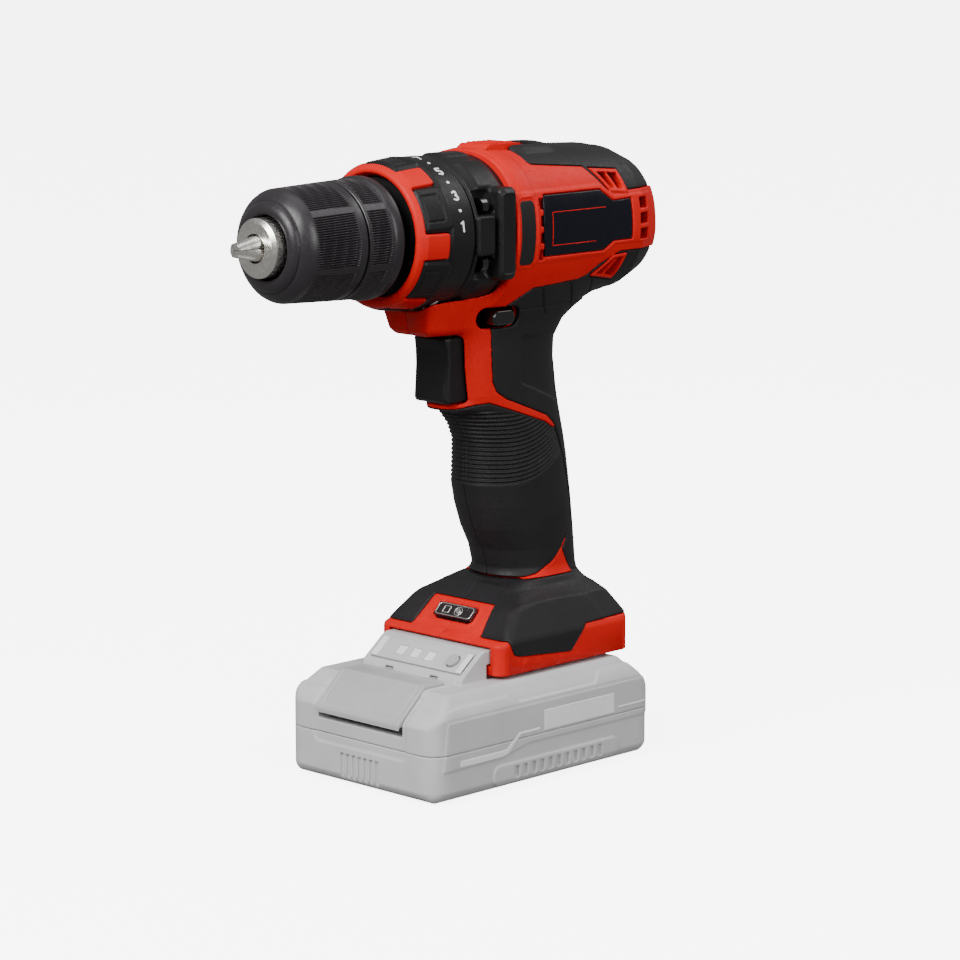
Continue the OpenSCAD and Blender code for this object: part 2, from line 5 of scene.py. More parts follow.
import bmesh
import bpy
import numpy as np
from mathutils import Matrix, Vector


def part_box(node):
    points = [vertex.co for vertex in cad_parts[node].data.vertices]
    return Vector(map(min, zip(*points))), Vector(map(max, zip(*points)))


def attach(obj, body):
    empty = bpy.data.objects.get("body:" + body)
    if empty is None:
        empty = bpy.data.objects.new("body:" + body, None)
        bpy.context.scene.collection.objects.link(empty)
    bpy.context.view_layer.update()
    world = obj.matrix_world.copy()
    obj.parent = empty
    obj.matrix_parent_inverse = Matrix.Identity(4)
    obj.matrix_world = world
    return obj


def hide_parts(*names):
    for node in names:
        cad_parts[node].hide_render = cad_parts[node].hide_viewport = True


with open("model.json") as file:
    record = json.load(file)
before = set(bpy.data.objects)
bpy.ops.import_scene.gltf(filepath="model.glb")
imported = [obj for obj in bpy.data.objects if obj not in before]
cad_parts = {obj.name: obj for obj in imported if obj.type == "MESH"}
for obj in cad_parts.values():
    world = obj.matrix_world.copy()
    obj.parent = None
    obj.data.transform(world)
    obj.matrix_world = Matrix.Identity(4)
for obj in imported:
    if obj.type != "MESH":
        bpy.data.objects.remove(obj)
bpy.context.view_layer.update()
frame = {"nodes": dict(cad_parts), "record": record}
MM = 0.001
FINE = 1.0


def mm_box(node):
    lo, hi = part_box(node)
    return np.array(lo) / MM, np.array(hi) / MM


def middle(node):
    lo, hi = mm_box(node)
    return (lo + hi) / 2


AZ = middle("spindle")[2]  # height of the spindle axis
DECK = mm_box("left_housing")[0][2]  # underside of the foot
BACK = -mm_box("left_overmould")[0][0]  # rear end of the barrel, behind the origin
PACK_LO, PACK_HI = mm_box("battery_upper_case")

# ---------------------------------------------------------------- distance fields


FAR = 9.0  # added to a feature's distance where the feature must not reach
S45 = 0.7071  # sine and cosine of 45 degrees, the slope of the lamp's plate


def smin(a, b, k):
    h = np.clip(0.5 + 0.5 * (b - a) / k, 0, 1)
    return b + (a - b) * h - k * h * (1 - h)


def smax(a, b, k):
    return -smin(-a, -b, k)


def hard(*fields):
    return np.maximum.reduce(np.broadcast_arrays(*fields))


def box2(u, v, cu, cv, hu, hv, r=0.0):
    a, b = np.abs(u - cu) - hu + r, np.abs(v - cv) - hv + r
    return np.hypot(np.maximum(a, 0), np.maximum(b, 0)) + np.minimum(np.maximum(a, b), 0) - r


def box3(x, y, z, lo, hi, r=0.0):
    a = [np.abs(p - (l + h) / 2) - (h - l) / 2 + r for p, l, h in zip((x, y, z), lo, hi)]
    out = np.sqrt(sum(np.maximum(q, 0) ** 2 for q in a))
    return out + np.minimum(np.maximum.reduce(a), 0) - r


def oval(u, v, a, b, p):
    """Distance to a superellipse with half axes a and b, to first order."""
    u, v = np.abs(u) / a, np.abs(v) / b
    g = np.maximum((u ** p + v ** p) ** (1 / p), 0.05)
    slope = g ** (1 - p) * np.hypot(u ** (p - 1) / a, v ** (p - 1) / b)
    return np.maximum((g - 1) / np.maximum(slope, 1e-3), -np.minimum(a, b))


def outline(u, v, points, r=0.0):
    """Signed distance to a closed polygon, negative inside, its corners rounded by r from outside."""
    p = np.array(points, np.float32)
    q = np.roll(p, -1, 0)
    best = np.full(u.shape, 1e9, np.float32)
    inside = np.zeros(u.shape, bool)
    for (ax, ay), (bx, by) in zip(p, q):
        ex, ey = bx - ax, by - ay
        wu, wv = u - ax, v - ay
        t = np.clip((wu * ex + wv * ey) / (ex * ex + ey * ey), 0, 1)
        best = np.minimum(best, (wu - t * ex) ** 2 + (wv - t * ey) ** 2)
        if ay != by:
            cross = ((ay > v) != (by > v)) & (u < ex * (v - ay) / ey + ax)
            inside ^= cross
    d = np.sqrt(best)
    return np.where(inside, -d, d) - r


def local(x, y, z, f, lo, hi, change, pad=3.0):
    """Applies change(x, y, z, f) only near a box, which keeps small features cheap."""
    m = (x > lo[0] - pad) & (x < hi[0] + pad) & (y > lo[1] - pad) & (y < hi[1] + pad)
    m &= (z > lo[2] - pad) & (z < hi[2] + pad)
    if m.any():
        f = f.copy()
        f[m] = change(x[m], y[m], z[m], f[m])
    return f


def cut(x, y, z, f, lo, hi, r=0.4, k=0.5):
    return local(x, y, z, f, lo, hi, lambda a, b, c, g: smax(g, -box3(a, b, c, lo, hi, r), k))


# ---------------------------------------------------------------- from field to mesh

BLOCK = 8


def surface_net(field, lo, hi, step):
    """Points and quads of the surface where field is 0, in a box, on a grid of the given step."""
    lo, hi = np.array(lo, float), np.array(hi, float)
    nb = np.ceil((hi - lo) / step / BLOCK).astype(int) + 1
    n = nb * BLOCK
    ax = [(lo[i] + (np.arange(nb[i]) + 0.5) * BLOCK * step).astype(np.float32) for i in range(3)]
    cx, cy, cz = (g.ravel() for g in np.meshgrid(*ax, indexing="ij"))
    coarse = field(cx, cy, cz).reshape(nb)
    near = np.abs(coarse) < BLOCK * step * 0.87 * 1.35 + step
    big = np.where(coarse < 0, -9.0, 9.0).astype(np.float32)
    full = np.repeat(np.repeat(np.repeat(big, BLOCK, 0), BLOCK, 1), BLOCK, 2)
    cells = np.argwhere(near)
    o = np.stack(np.meshgrid(*[np.arange(BLOCK)] * 3, indexing="ij"), -1).reshape(-1, 3)
    for part in np.array_split(cells, max(1, len(cells) // 1500)):
        g = (part[:, None, :] * BLOCK + o[None]).reshape(-1, 3)
        p = (lo + g * step).astype(np.float32)
        full[g[:, 0], g[:, 1], g[:, 2]] = field(p[:, 0], p[:, 1], p[:, 2])
    s = full < 0
    c = np.zeros(np.array(s.shape) - 1, np.int8)
    for i in (0, 1):
        for j in (0, 1):
            for k in (0, 1):
                c += s[i:n[0] - 1 + i, j:n[1] - 1 + j, k:n[2] - 1 + k]
    act = np.argwhere((c > 0) & (c < 8))
    index = np.full(c.shape, -1, np.int32)
    index[act[:, 0], act[:, 1], act[:, 2]] = np.arange(len(act))
    total, count = np.zeros((len(act), 3)), np.zeros(len(act))
    corner = [(i, j, k) for i in (0, 1) for j in (0, 1) for k in (0, 1)]
    val = {q: full[act[:, 0] + q[0], act[:, 1] + q[1], act[:, 2] + q[2]] for q in corner}
    for q in corner:
        for axis in range(3):
            if q[axis]:
                continue
            w = tuple(v + (a == axis) for a, v in enumerate(q))
            a, b = val[q], val[w]
            hit = (a < 0) != (b < 0)
            t = np.clip(a / np.where(a == b, 1, a - b), 0, 1)
            for d in range(3):
                total[:, d] += hit * (q[d] + (t if d == axis else 0))
            count += hit
    pts = lo + (act + total / count[:, None]) * step
    e = 0.35 * step
    for _ in range(2):
        x, y, z = (pts[:, i].astype(np.float32) for i in range(3))
        f0 = field(x, y, z)
        g = np.stack([field(x + e, y, z) - f0, field(x, y + e, z) - f0, field(x, y, z + e) - f0], 1) / e
        move = -f0[:, None] * g / np.maximum((g ** 2).sum(1), 0.05)[:, None]
        size = np.linalg.norm(move, axis=1, keepdims=True)
        pts = pts + move * np.minimum(1, 0.5 * step / np.maximum(size, 1e-9))
    quads = []
    for axis in range(3):
        a = s[tuple(slice(1, -1) if d != axis else slice(0, -1) for d in range(3))]
        b = s[tuple(slice(1, -1) if d != axis else slice(1, None) for d in range(3))]
        e1 = np.argwhere(a != b)
        if not len(e1):
            continue
        base = e1 + [0 if d == axis else 1 for d in range(3)]
        u, v = (axis + 1) % 3, (axis + 2) % 3
        ring = []
        for du, dv in ((1, 1), (0, 1), (0, 0), (1, 0)):
            q = base.copy()
            q[:, u] -= du
            q[:, v] -= dv
            ring.append(index[q[:, 0], q[:, 1], q[:, 2]])
        ring = np.stack(ring, 1)
        out = a[tuple(e1.T)]
        ring[~out] = ring[~out][:, ::-1]
        quads.append(ring)
    return pts, np.concatenate(quads)


def new_mesh(name, pts, faces, body, mat, nodes=(), smooth=True):
    """A piece from an (n, 3) array of points in mm and an (m, 3 or 4) array of faces, or a list of faces."""
    me = bpy.data.meshes.new(name)
    if isinstance(faces, np.ndarray):
        k = faces.shape[1]
        me.vertices.add(len(pts))
        me.vertices.foreach_set("co", (np.asarray(pts, np.float32) * MM).ravel())
        me.loops.add(faces.size)
        me.loops.foreach_set("vertex_index", faces.astype(np.int32).ravel())
        me.polygons.add(len(faces))
        me.polygons.foreach_set("loop_start", np.arange(0, faces.size, k, dtype=np.int32))
        me.polygons.foreach_set("loop_total", np.full(len(faces), k, np.int32))
        me.update(calc_edges=True)
    else:
        me.from_pydata([tuple(float(c) * MM for c in p) for p in pts], [], faces)
    me.validate()
    me.polygons.foreach_set("use_smooth", np.full(len(me.polygons), smooth))
    me.materials.append(mat)
    obj = bpy.data.objects.new(name, me)
    bpy.context.scene.collection.objects.link(obj)
    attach(obj, body)
    if nodes:
        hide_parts(*nodes)
    return obj


def thin_out(obj, limit):
    """Fewer faces where there are more than limit triangles, for the mesh's size."""
    tris = sum(len(p.vertices) - 2 for p in obj.data.polygons)
    if tris > limit:
        m = obj.modifiers.new("thin", "DECIMATE")
        m.ratio = limit / tris
    return obj


def solid(name, field, lo, hi, step, body, mat, slot, nodes=(), limit=195000):
    pts, quads = surface_net(field, lo, hi, step * FINE)
    return thin_out(new_mesh(name, pts, quads, body, mat, nodes), limit)


def both_sides(names, field, lo, hi, step, body, mat, nodes, limit=195000):
    """A left piece from the field, and the right one as its mirror image with the screws' bores."""
    pts, quads = surface_net(field, lo, hi, step * FINE)
    out = [thin_out(new_mesh(names[0], pts, quads, body, mat, nodes[:1]), limit)]
    pts, quads = surface_net(lambda x, y, z: smax(field(x, y, z), -screw_bores(x, y, z), 0.3),
                             lo, hi, step * FINE)
    right = new_mesh(names[1], pts * [1, -1, 1], quads[:, ::-1].copy(), body, mat, nodes[1:])
    return out + [thin_out(right, limit)]


def two_in_one(name, field, lo, hi, step, body, mat, nodes=(), limit=190000):
    """One piece with a left part and its mirror image on the right, as the two badges are."""
    pts, quads = surface_net(field, lo, hi, step * FINE)
    both = np.concatenate([pts, pts * [1, -1, 1]])
    faces = np.concatenate([quads, quads[:, ::-1] + len(pts)])
    return thin_out(new_mesh(name, both, faces, body, mat, nodes), limit)


# ---------------------------------------------------------------- materials


class Nodes:
    """A short way to write a node material."""

    def __init__(self, name):
        self.mat = bpy.data.materials.new(name)
        self.mat.use_nodes = True
        self.tree = self.mat.node_tree
        self.shader = self.tree.nodes["Principled BSDF"]
        self.coord = self.add("ShaderNodeTexCoord").outputs["Object"]

    def add(self, kind, links=None, **values):
        n = self.tree.nodes.new(kind)
        for key, v in values.items():
            if hasattr(n, key):
                setattr(n, key, v)
            else:
                n.inputs[key.replace("_", " ")].default_value = v
        for key, v in (links or {}).items():
            self.tree.links.new(v, n.inputs[key])
        return n

    def noise(self, scale, detail=4.0, rough=0.6):
        return self.add("ShaderNodeTexNoise", {"Vector": self.coord}, Scale=scale, Detail=detail,
                        Roughness=rough).outputs["Fac"]

    def ramp(self, fac, stops):
        n = self.add("ShaderNodeValToRGB", {"Fac": fac})
        el = n.color_ramp.elements
        el[0].position, el[0].color = stops[0][0], (*stops[0][1], 1)
        el[1].position, el[1].color = stops[-1][0], (*stops[-1][1], 1)
        for p, c in stops[1:-1]:
            el.new(p).color = (*c, 1)
        return n.outputs["Color"]

    def span(self, fac, low, high):
        return self.add("ShaderNodeMapRange", {"Value": fac}, To_Min=low, To_Max=high,
                        From_Min=0.3, From_Max=0.7).outputs["Result"]

    def bump(self, height, strength, distance, normal=None):
        links = {"Height": height}
        if normal is not None:
            links["Normal"] = normal
        return self.add("ShaderNodeBump", links, Strength=strength, Distance=distance).outputs["Normal"]

    def wire(self, socket, value):
        self.tree.links.new(value, self.shader.inputs[socket])

    def put(self, **values):
        for key, v in values.items():
            self.shader.inputs[key.replace("_", " ")].default_value = v


def plastic(name, dark, light, rough, grain=0.0, grain_scale=1400.0, mottle=60.0, coat=0.0, ior=1.46,
            shine=0.3):
    """Moulded plastic: two close tones, uneven gloss and a spark-eroded grain."""
    n = Nodes(name)
    n.wire("Base Color", n.ramp(n.noise(mottle, 5), [(0.3, dark), (0.7, light)]))
    n.wire("Roughness", n.span(n.noise(grain_scale * 0.35, 3), rough[0], rough[1]))
    if grain:
        fine = n.bump(n.noise(grain_scale, 3, 0.55), grain, 0.00012)
        n.wire("Normal", n.bump(n.noise(90, 2), 0.03, 0.0004, fine))
    n.put(IOR=ior, Coat_Weight=coat, Specular_IOR_Level=shine)
    return n.mat


def metal(name, dark, light, rough, grain=0.0, along="X", scale=600.0):
    """Machined or plated metal: a tone that drifts, fine turning marks and patchy polish."""
    n = Nodes(name)
    n.put(Metallic=1.0)
    n.wire("Base Color", n.ramp(n.noise(180, 5), [(0.3, dark), (0.7, light)]))
    n.wire("Roughness", n.span(n.noise(700, 4), rough[0], rough[1]))
    if grain:
        stretch = {"X": (1, 0.02, 0.02), "Z": (0.02, 0.02, 1), "Y": (0.02, 1, 0.02)}[along]
        m = n.add("ShaderNodeMapping", {"Vector": n.coord})
        m.inputs["Scale"].default_value = stretch
        t = n.add("ShaderNodeTexNoise", {"Vector": m.outputs["Vector"]}, Scale=scale * 8, Detail=3.0)
        n.wire("Normal", n.bump(t.outputs["Fac"], grain, 0.00008))
    return n.mat


RED = plastic("red_abs", (0.58, 0.005, 0.004), (0.65, 0.008, 0.006), (0.42, 0.55), 0.5, 1300, shine=0.18)
BLACK = plastic("black_abs", (0.0065, 0.0060, 0.0066), (0.0100, 0.0092, 0.0100), (0.36, 0.5), 0.5, 1500)
RUBBER = plastic("overmould", (0.0098, 0.0088, 0.0098), (0.0142, 0.0128, 0.0141), (0.46, 0.6), 0.4, 2200)
CHUCKB = plastic("chuck_plastic", (0.0170, 0.0145, 0.0168), (0.0240, 0.0205, 0.0235), (0.30, 0.42), 0.12,
                 1800, shine=0.5)
GLOSS = plastic("gloss_black", (0.002, 0.002, 0.0024), (0.004, 0.004, 0.0044), (0.06, 0.14), 0.02, 600,
                coat=0.5, shine=0.5)
BADGE = plastic("badge_film", (0.0018, 0.0020, 0.0060), (0.0026, 0.0030, 0.0080), (0.25, 0.35), 0.05, 900)
GREY = plastic("pack_grey", (0.50, 0.495, 0.505), (0.56, 0.555, 0.565), (0.45, 0.6), 0.3, 1500)
LIGHT = plastic("pack_light", (0.77, 0.77, 0.78), (0.84, 0.84, 0.85), (0.42, 0.55), 0.2, 1500)
MID = plastic("pack_mid", (0.39, 0.385, 0.395), (0.44, 0.435, 0.445), (0.45, 0.6), 0.3, 1500)
WHITE = plastic("white_ink", (0.78, 0.78, 0.78), (0.88, 0.88, 0.88), (0.4, 0.5), 0.05, 900)
BOARD = plastic("board_green", (0.008, 0.03, 0.014), (0.014, 0.05, 0.02), (0.3, 0.45), 0.1, 900)
WRAP = plastic("cell_wrap", (0.03, 0.14, 0.38), (0.05, 0.19, 0.46), (0.15, 0.3), 0.05, 500, coat=0.3)
NYLON = plastic("nylon", (0.006, 0.006, 0.006), (0.010, 0.010, 0.010), (0.45, 0.6), 0.2, 1500)
CARBON = plastic("carbon", (0.015, 0.015, 0.016), (0.03, 0.03, 0.031), (0.5, 0.7), 0.3, 2500)
NICKEL = metal("nickel", (0.78, 0.76, 0.71), (0.92, 0.90, 0.85), (0.20, 0.36), 0.25)
STEEL = metal("steel", (0.42, 0.42, 0.43), (0.56, 0.56, 0.57), (0.25, 0.4), 0.3)
SINTER = metal("sintered", (0.24, 0.24, 0.25), (0.34, 0.34, 0.35), (0.42, 0.6), 0.2)
ZINC = metal("zinc", (0.52, 0.53, 0.55), (0.66, 0.67, 0.70), (0.25, 0.42), 0.2)
COPPER = metal("copper", (0.62, 0.28, 0.13), (0.78, 0.38, 0.19), (0.28, 0.45), 0.2)
BRASS = metal("brass", (0.60, 0.44, 0.16), (0.74, 0.56, 0.22), (0.25, 0.4), 0.2)


def clear_plastic():
    n = Nodes("clear_lens")
    # The lens's dark smoky tint is painted shade: it stands in for the dark, shaded inside of the lamp behind
    # clear plastic.
    n.wire("Base Color", n.ramp(n.noise(300), [(0.3, (0.13, 0.10, 0.12)), (0.7, (0.20, 0.16, 0.18))]))
    n.wire("Roughness", n.span(n.noise(500), 0.02, 0.08))
    n.put(Transmission_Weight=0.9, IOR=1.49)
    return n.mat


CLEAR = clear_plastic()
FINISH = {
    "red_plastic": RED, "black_plastic": BLACK, "black_rubber": RUBBER, "gloss_black": GLOSS,
    "badge": BADGE, "grey_plastic": GREY, "dark_grey": MID, "nickel": NICKEL, "steel": STEEL,
    "sintered": SINTER, "zinc": ZINC, "copper": COPPER, "brass": BRASS, "carbon": CARBON,
    "cell_wrap": WRAP, "clear": CLEAR, "board": BOARD, "nylon": NYLON,
}
for sub in frame["record"]["subparts"]:
    node = frame["nodes"][sub["node"]]
    node.data.materials.clear()
    node.data.materials.append(FINISH[sub["material_slot"]])
frame["nodes"]["gearbox_screws"].data.materials[0] = GLOSS
frame["nodes"]["gear_selector"].data.materials[0] = RED

# ---------------------------------------------------------------- body of the drill

BARREL_R = 28.4
FRONT_X = 5.3  # where the red housing ends and the gearbox shows
HANDLE = np.array([
    # height, front, rear, half width, roundness
    [58, -6, -48.2, 17.6, 2.4],
    [66, -7.5, -47.6, 17.0, 2.4],
    [73, -7.6, -47.0, 16.6, 2.4],
    [80, -5.4, -46.7, 16.6, 2.35],
    [88, -0.8, -46.2, 16.9, 2.3],
    [97, 2.6, -45.3, 17.3, 2.25],
    [105, 4.4, -44.2, 17.5, 2.2],
    [113, 3.9, -42.8, 17.5, 2.2],
    [121, 3.8, -41.2, 17.2, 2.2],
    [127, 6.6, -39.9, 16.8, 2.25],
    [133, 11.6, -38.4, 16.4, 2.4],
    [139, 15.2, -36.9, 16.1, 2.6],
    [150, 16.2, -35.0, 15.9, 2.8],
    [158, 16.4, -35.2, 16.2, 2.8],
    [164, 17.0, -39.6, 16.8, 2.8],
    [170, 17.0, -48.0, 18.0, 2.6],
    [180, 17.0, -52.0, 19.0, 2.6],
])


def handle_at(z):
    return [np.interp(z, HANDLE[:, 0], HANDLE[:, i]) for i in range(1, 5)]


def barrel(x, y, z):
    v = z - AZ
    r = (np.abs(y) ** 2.3 + np.abs(v) ** 2.3) ** (1 / 2.3)
    lean = np.interp(x, [-76, -62, -40, -20], [1.9, 1.3, 0.5, 0])
    d = r - BARREL_R + lean * np.clip(0.5 + v / 30, 0.3, 1)
    d = d + 4.5 * np.clip((-62.5 - x) / 13, 0, 1)
    d = smax(d, -(x + BACK - 0.5), 3.0)
    return smax(d, x - FRONT_X, 0.8)


def grip(x, y, z):
    f, b, w, p = handle_at(z)
    d = oval(x - (f + b) / 2, y, (f - b) / 2, w, p)
    return hard(d, 60 - z, z - AZ + 8)


def chin(x, y, z):
    prof = outline(x, z, [(4, 190), (4, 163), (16, 162.2), (30.6, 162.6), (32.6, 164.4), (34.6, 175.5),
                          (34.8, 190)])
    w = np.interp(z, [161, 165, 176, 180], [11.2, 12.8, 15.8, 16.2]) - 0.07 * np.maximum(x - 8, 0)
    return smax(smax(prof, np.abs(y) - w, 3.0), z - 186, 0.5)


def lip(x, y, z):
    """The small ledge under the trigger."""
    d = oval(x - 2.5, y, 15.8, 11.5, 2.6)
    low = z - (135.5 + 0.05 * (x - 12))
    return smax(d, np.abs(low) - 1.7, 1.8)


FOOT_SIDE = [(17.6, DECK - 9), (17.6, 50.6), (12.8, 53.0), (3.8, 62.2), (-3, 67.5), (-12, 70), (-40, 69),
             (-44.8, 65.5), (-52.6, 53), (-52.6, DECK - 9)]
FOOT_FRONT = [(-9, DECK - 9), (31.8, DECK - 9), (31.8, 50.8), (25.4, 62.6), (19, 66.5), (16, 70), (-9, 70)]


def foot(x, y, z):
    side = outline(x, z, FOOT_SIDE)
    front = outline(np.abs(y), z, FOOT_FRONT)
    plan = box2(x, y, -17.5, 0, 35.1, 31.8, 5.0)
    d = smax(smax(side, front, 3.0), plan, 1.0)
    return hard(d, DECK + 0.02 - z)


def body(x, y, z):
    """The outside of the whole housing as if it were one piece, before its parts are cut from it."""
    d = smin(barrel(x, y, z), grip(x, y, z), 9.0)
    d = smin(d, foot(x, y, z), 4.5)
    low = smin(chin(x, y, z), lip(x, y, z), 0.5)
    return smin(d, low, 2.5)


# Areas seen from the side, as (x, z) outlines
LOOP = [(0.6, 172.4), (0.6, 168), (5.8, 167.4), (5.4, 162), (4.5, 150), (4.1, 144.5), (2.4, 140.6),
        (-2, 137.6), (-22.6, 129.6), (-25.6, 127.2), (-27.8, 124.9), (-31.7, 116), (-36.1, 104),
        (-37.9, 96.4), (-37.9, 89), (-35.4, 85), (-31.0, 78.4), (-37.0, 67.2), (-80, 66), (-80, 150),
        (-90, 189), (-90, 250), (-10, 250), (-10.2, 223), (-11.4, 222.2), (-36.2, 220.2), (-45, 210.8),
        (-90, 210.8), (-90, 188.6), (-50.6, 188.8), (-41, 184.6), (-36, 180.8), (-32, 179.6), (-9, 178.2)]
PALM = [(30, 132.8), (16, 135.0), (9, 136.4), (4.6, 136.7), (-21.6, 127.4), (-26.0, 124.9), (-27.5, 124.9),
        (-31.5, 116), (-35.9, 104), (-37.7, 96.4), (-37.7, 89), (-35.2, 85), (-30.6, 79), (-25.7, 74.5),
        (-18, 70.8), (-11, 69.5), (24, 69.5), (24, 120)]
SEAM = [(-27.0, 124.4), (-30.8, 116), (-35.2, 104), (-37.0, 96.4), (-37.0, 89), (-34.9, 85.6), (-36, 84.8),
        (-38.6, 89), (-38.6, 96.6), (-36.8, 104.3), (-32.4, 116.4), (-28.4, 125.2)]
SKIRT = [(30, 52), (12.6, 52), (10.2, 46.8), (7, 45.8), (-20.2, 43.6), (-28.6, 52.6), (-66, 53.4),
         (-66, 69.4), (30, 69.4)]
PLATE = [(-1.6, 74), (-1.6, 66.2), (14, 46), (30, 46), (30, 74)]  # red plate round the lamp


def loop_area(x, z):
    """The spine, belly and top, less the red frames of the two louvres."""
    return hard(outline(x, z, LOOP), *(-outline(x, z, p) for p in LOUVRES.values()))


def skirt(x, y, z):
    """The soft cover of the foot, less the red plate round the lamp."""
    plate = hard(outline(x, z, PLATE), np.abs(y) - np.interp(z, [52, 63], [17.6, 15.0]), z - 61.9)
    return np.maximum(outline(x, z, SKIRT), -plate)


def region(x, y, z):
    """Negative where the surface is soft black overmould."""
    d = np.minimum(np.minimum(loop_area(x, z), outline(x, z, PALM)), outline(x, z, SEAM))
    return np.minimum(d, skirt(x, y, z))


def rounded_panel(x, z, x0, x1, z0, z1, r):
    return box2(x, z, (x0 + x1) / 2, (z0 + z1) / 2, (x1 - x0) / 2, (z1 - z0) / 2, r)


BADGE_SHAPE = [(-9.4, 212), (-40, 212), (-46, 207.6), (-56, 208), (-56, 193), (-46, 193), (-41, 189.8),
               (-9.4, 189.8), (-8.2, 196), (-8.0, 202), (-8.4, 208)]
LOUVRES = {
    "upper": [(-38.8, 219.6), (-53.2, 218.4), (-55.2, 209.8), (-45.6, 210.9)],
    "lower": [(-47.6, 187.4), (-54.6, 187.8), (-52.6, 177.8), (-38.2, 180.2)],
}


LOUVRE_RIM = 1.35


def openings(x, y, z, f):
    """Trigger well, lever slot, vents, lamp window, battery channel and the gear selector's slot."""
    f = cut(x, y, z, f, (2.5, -9.5, 136.8), (45, 9.5, 162.0), 2.0, 0.6)
    f = local(x, y, z, f, (-8, 8, 162), (13, 30, 174), lambda a, b, c, g: smax(
        g, -hard(rounded_panel(a, c, -6.6, 11.6, 164.0, 171.9, 3.9), 9 - b), 0.5))
    f = cut(x, y, z, f, (-3.6, -9.6, 164.6), (8.6, 9.6, 176), 0.4, 0.2)
    for i in range(4):
        zc = 190.6 + 6.1 * i
        f = cut(x, y, z, f, (-9.2, 20, zc - 1.9), (-6.6, 34, zc + 1.9), 0.3, 0.5)
    for i in range(3):
        zc = 194.4 + 5.7 * i
        f = cut(x, y, z, f, (-65.8, 20, zc - 2.0), (-60.6, 34, zc + 2.0), 0.3, 0.5)
    f = local(x, y, z, f, (0, 0, 48), (16, 12, 66), lambda a, b, c, g: smax(
        g, -box3((a - 8.1) * S45 - (c - 57.6) * S45, b, (a - 8.1) * S45 + (c - 57.6) * S45,
                 (-3.5, -9.6, -6), (3.5, 9.6, 8), 2.2), 0.5))
    f = smax(f, -hard(x - 30, -51 - x, y - 26.2, z - 49.6, 43.2 - z), 0.4)
    f = smax(f, -hard(x - 30, -51 - x, y - 22.0, z - 45, 30 - z), 0.4)
    f = cut(x, y, z, f, (-25.2, -8, AZ + 26.3), (1.2, 8, AZ + 36), 0.8, 0.4)
    f = cut(x, y, z, f, (-19.4, -3.8, AZ + 20), (3.8, 3.8, AZ + 30), 0.4, 0.2)
    for pts in LOUVRES.values():
        lo, hi = np.min(pts, 0), np.max(pts, 0)
        f = local(x, y, z, f, (lo[0], 5, lo[1]), (hi[0], 34, hi[1]),
                  lambda a, b, c, g, p=pts: smax(g, -hard(slits(a, c, p), 6 - b), 0.4))
    return f


def slits(x, z, pts):
    """Two slanted openings inside a louvre's rim."""
    a, b, c, d = (np.array(p, float) for p in pts)
    inner = outline(x, z, pts) + LOUVRE_RIM
    top, bottom = (a + b) / 2, (c + d) / 2
    u = ((x - bottom[0]) * (top[1] - bottom[1]) - (z - bottom[1]) * (top[0] - bottom[0]))
    return np.maximum(inner, 0.55 - np.abs(u / np.hypot(*(top - bottom))))


def raised(f, d, h, w=0.5):
    """Lifts the surface by h where d is negative, over a slope of width w. A negative h sinks it."""
    return f - h * np.clip(0.5 - d / w, 0, 1)


PANEL = [(9, 213.4), (-40.6, 213.8), (-47, 209.4), (-70, 209.4), (-70, 191.6), (-46.6, 191.6),
         (-41.6, 188.2), (9, 187.2)]


def red_relief(x, y, z, f):
    """The housing's own raised frames, lines and sunk panels."""
    f = local(x, y, z, f, (-80, 14, 184), (8, 34, 217), lambda a, b, c, g: raised(
        g, outline(a, c, PANEL), 0.35, 0.8))
    f = local(x, y, z, f, (-6, 14, 185), (6, 34, 213), lambda a, b, c, g: raised(
        g, np.abs(rounded_panel(a, c, -4.9, 4.8, 186.4, 211.8, 2.4)) - 0.35, 0.4, 0.5))
    f = local(x, y, z, f, (-60, 14, 188), (-7, 34, 214), lambda a, b, c, g: raised(
        g, outline(a, c, BADGE_SHAPE) - 0.15, -1.3, 0.3))
    for pts in LOUVRES.values():
        lo, hi = np.min(pts, 0), np.max(pts, 0)
        f = local(x, y, z, f, (lo[0], 2, lo[1]), (hi[0], 34, hi[1]), lambda a, b, c, g, p=pts: raised(
            g, hard(outline(a, c, p), -LOUVRE_RIM - outline(a, c, p)), 0.45, 0.4))
    rim = lambda a, b, c, g: raised(g, np.abs(box2(b, ((a - 8.1) - (c - 57.6)) * -S45, 0, 0,
                                                   10.6, 4.5, 2.6)) - 0.35, 0.3, 0.4)
    f = local(x, y, z, f, (2, -14, 50), (16, 14, 66), rim)
    f = local(x, y, z, f, (-10, -34, 215), (7, 34, 232), lambda a, b, c, g: raised(
        g, np.abs(a + 1.2) - 3.6, 0.35, 0.6))
    return f


def rib_phase(x, z):
    """The grip's ribs: level at the front, rising towards the rear."""
    return z - 0.0125 * np.maximum(-3 - x, 0) ** 2


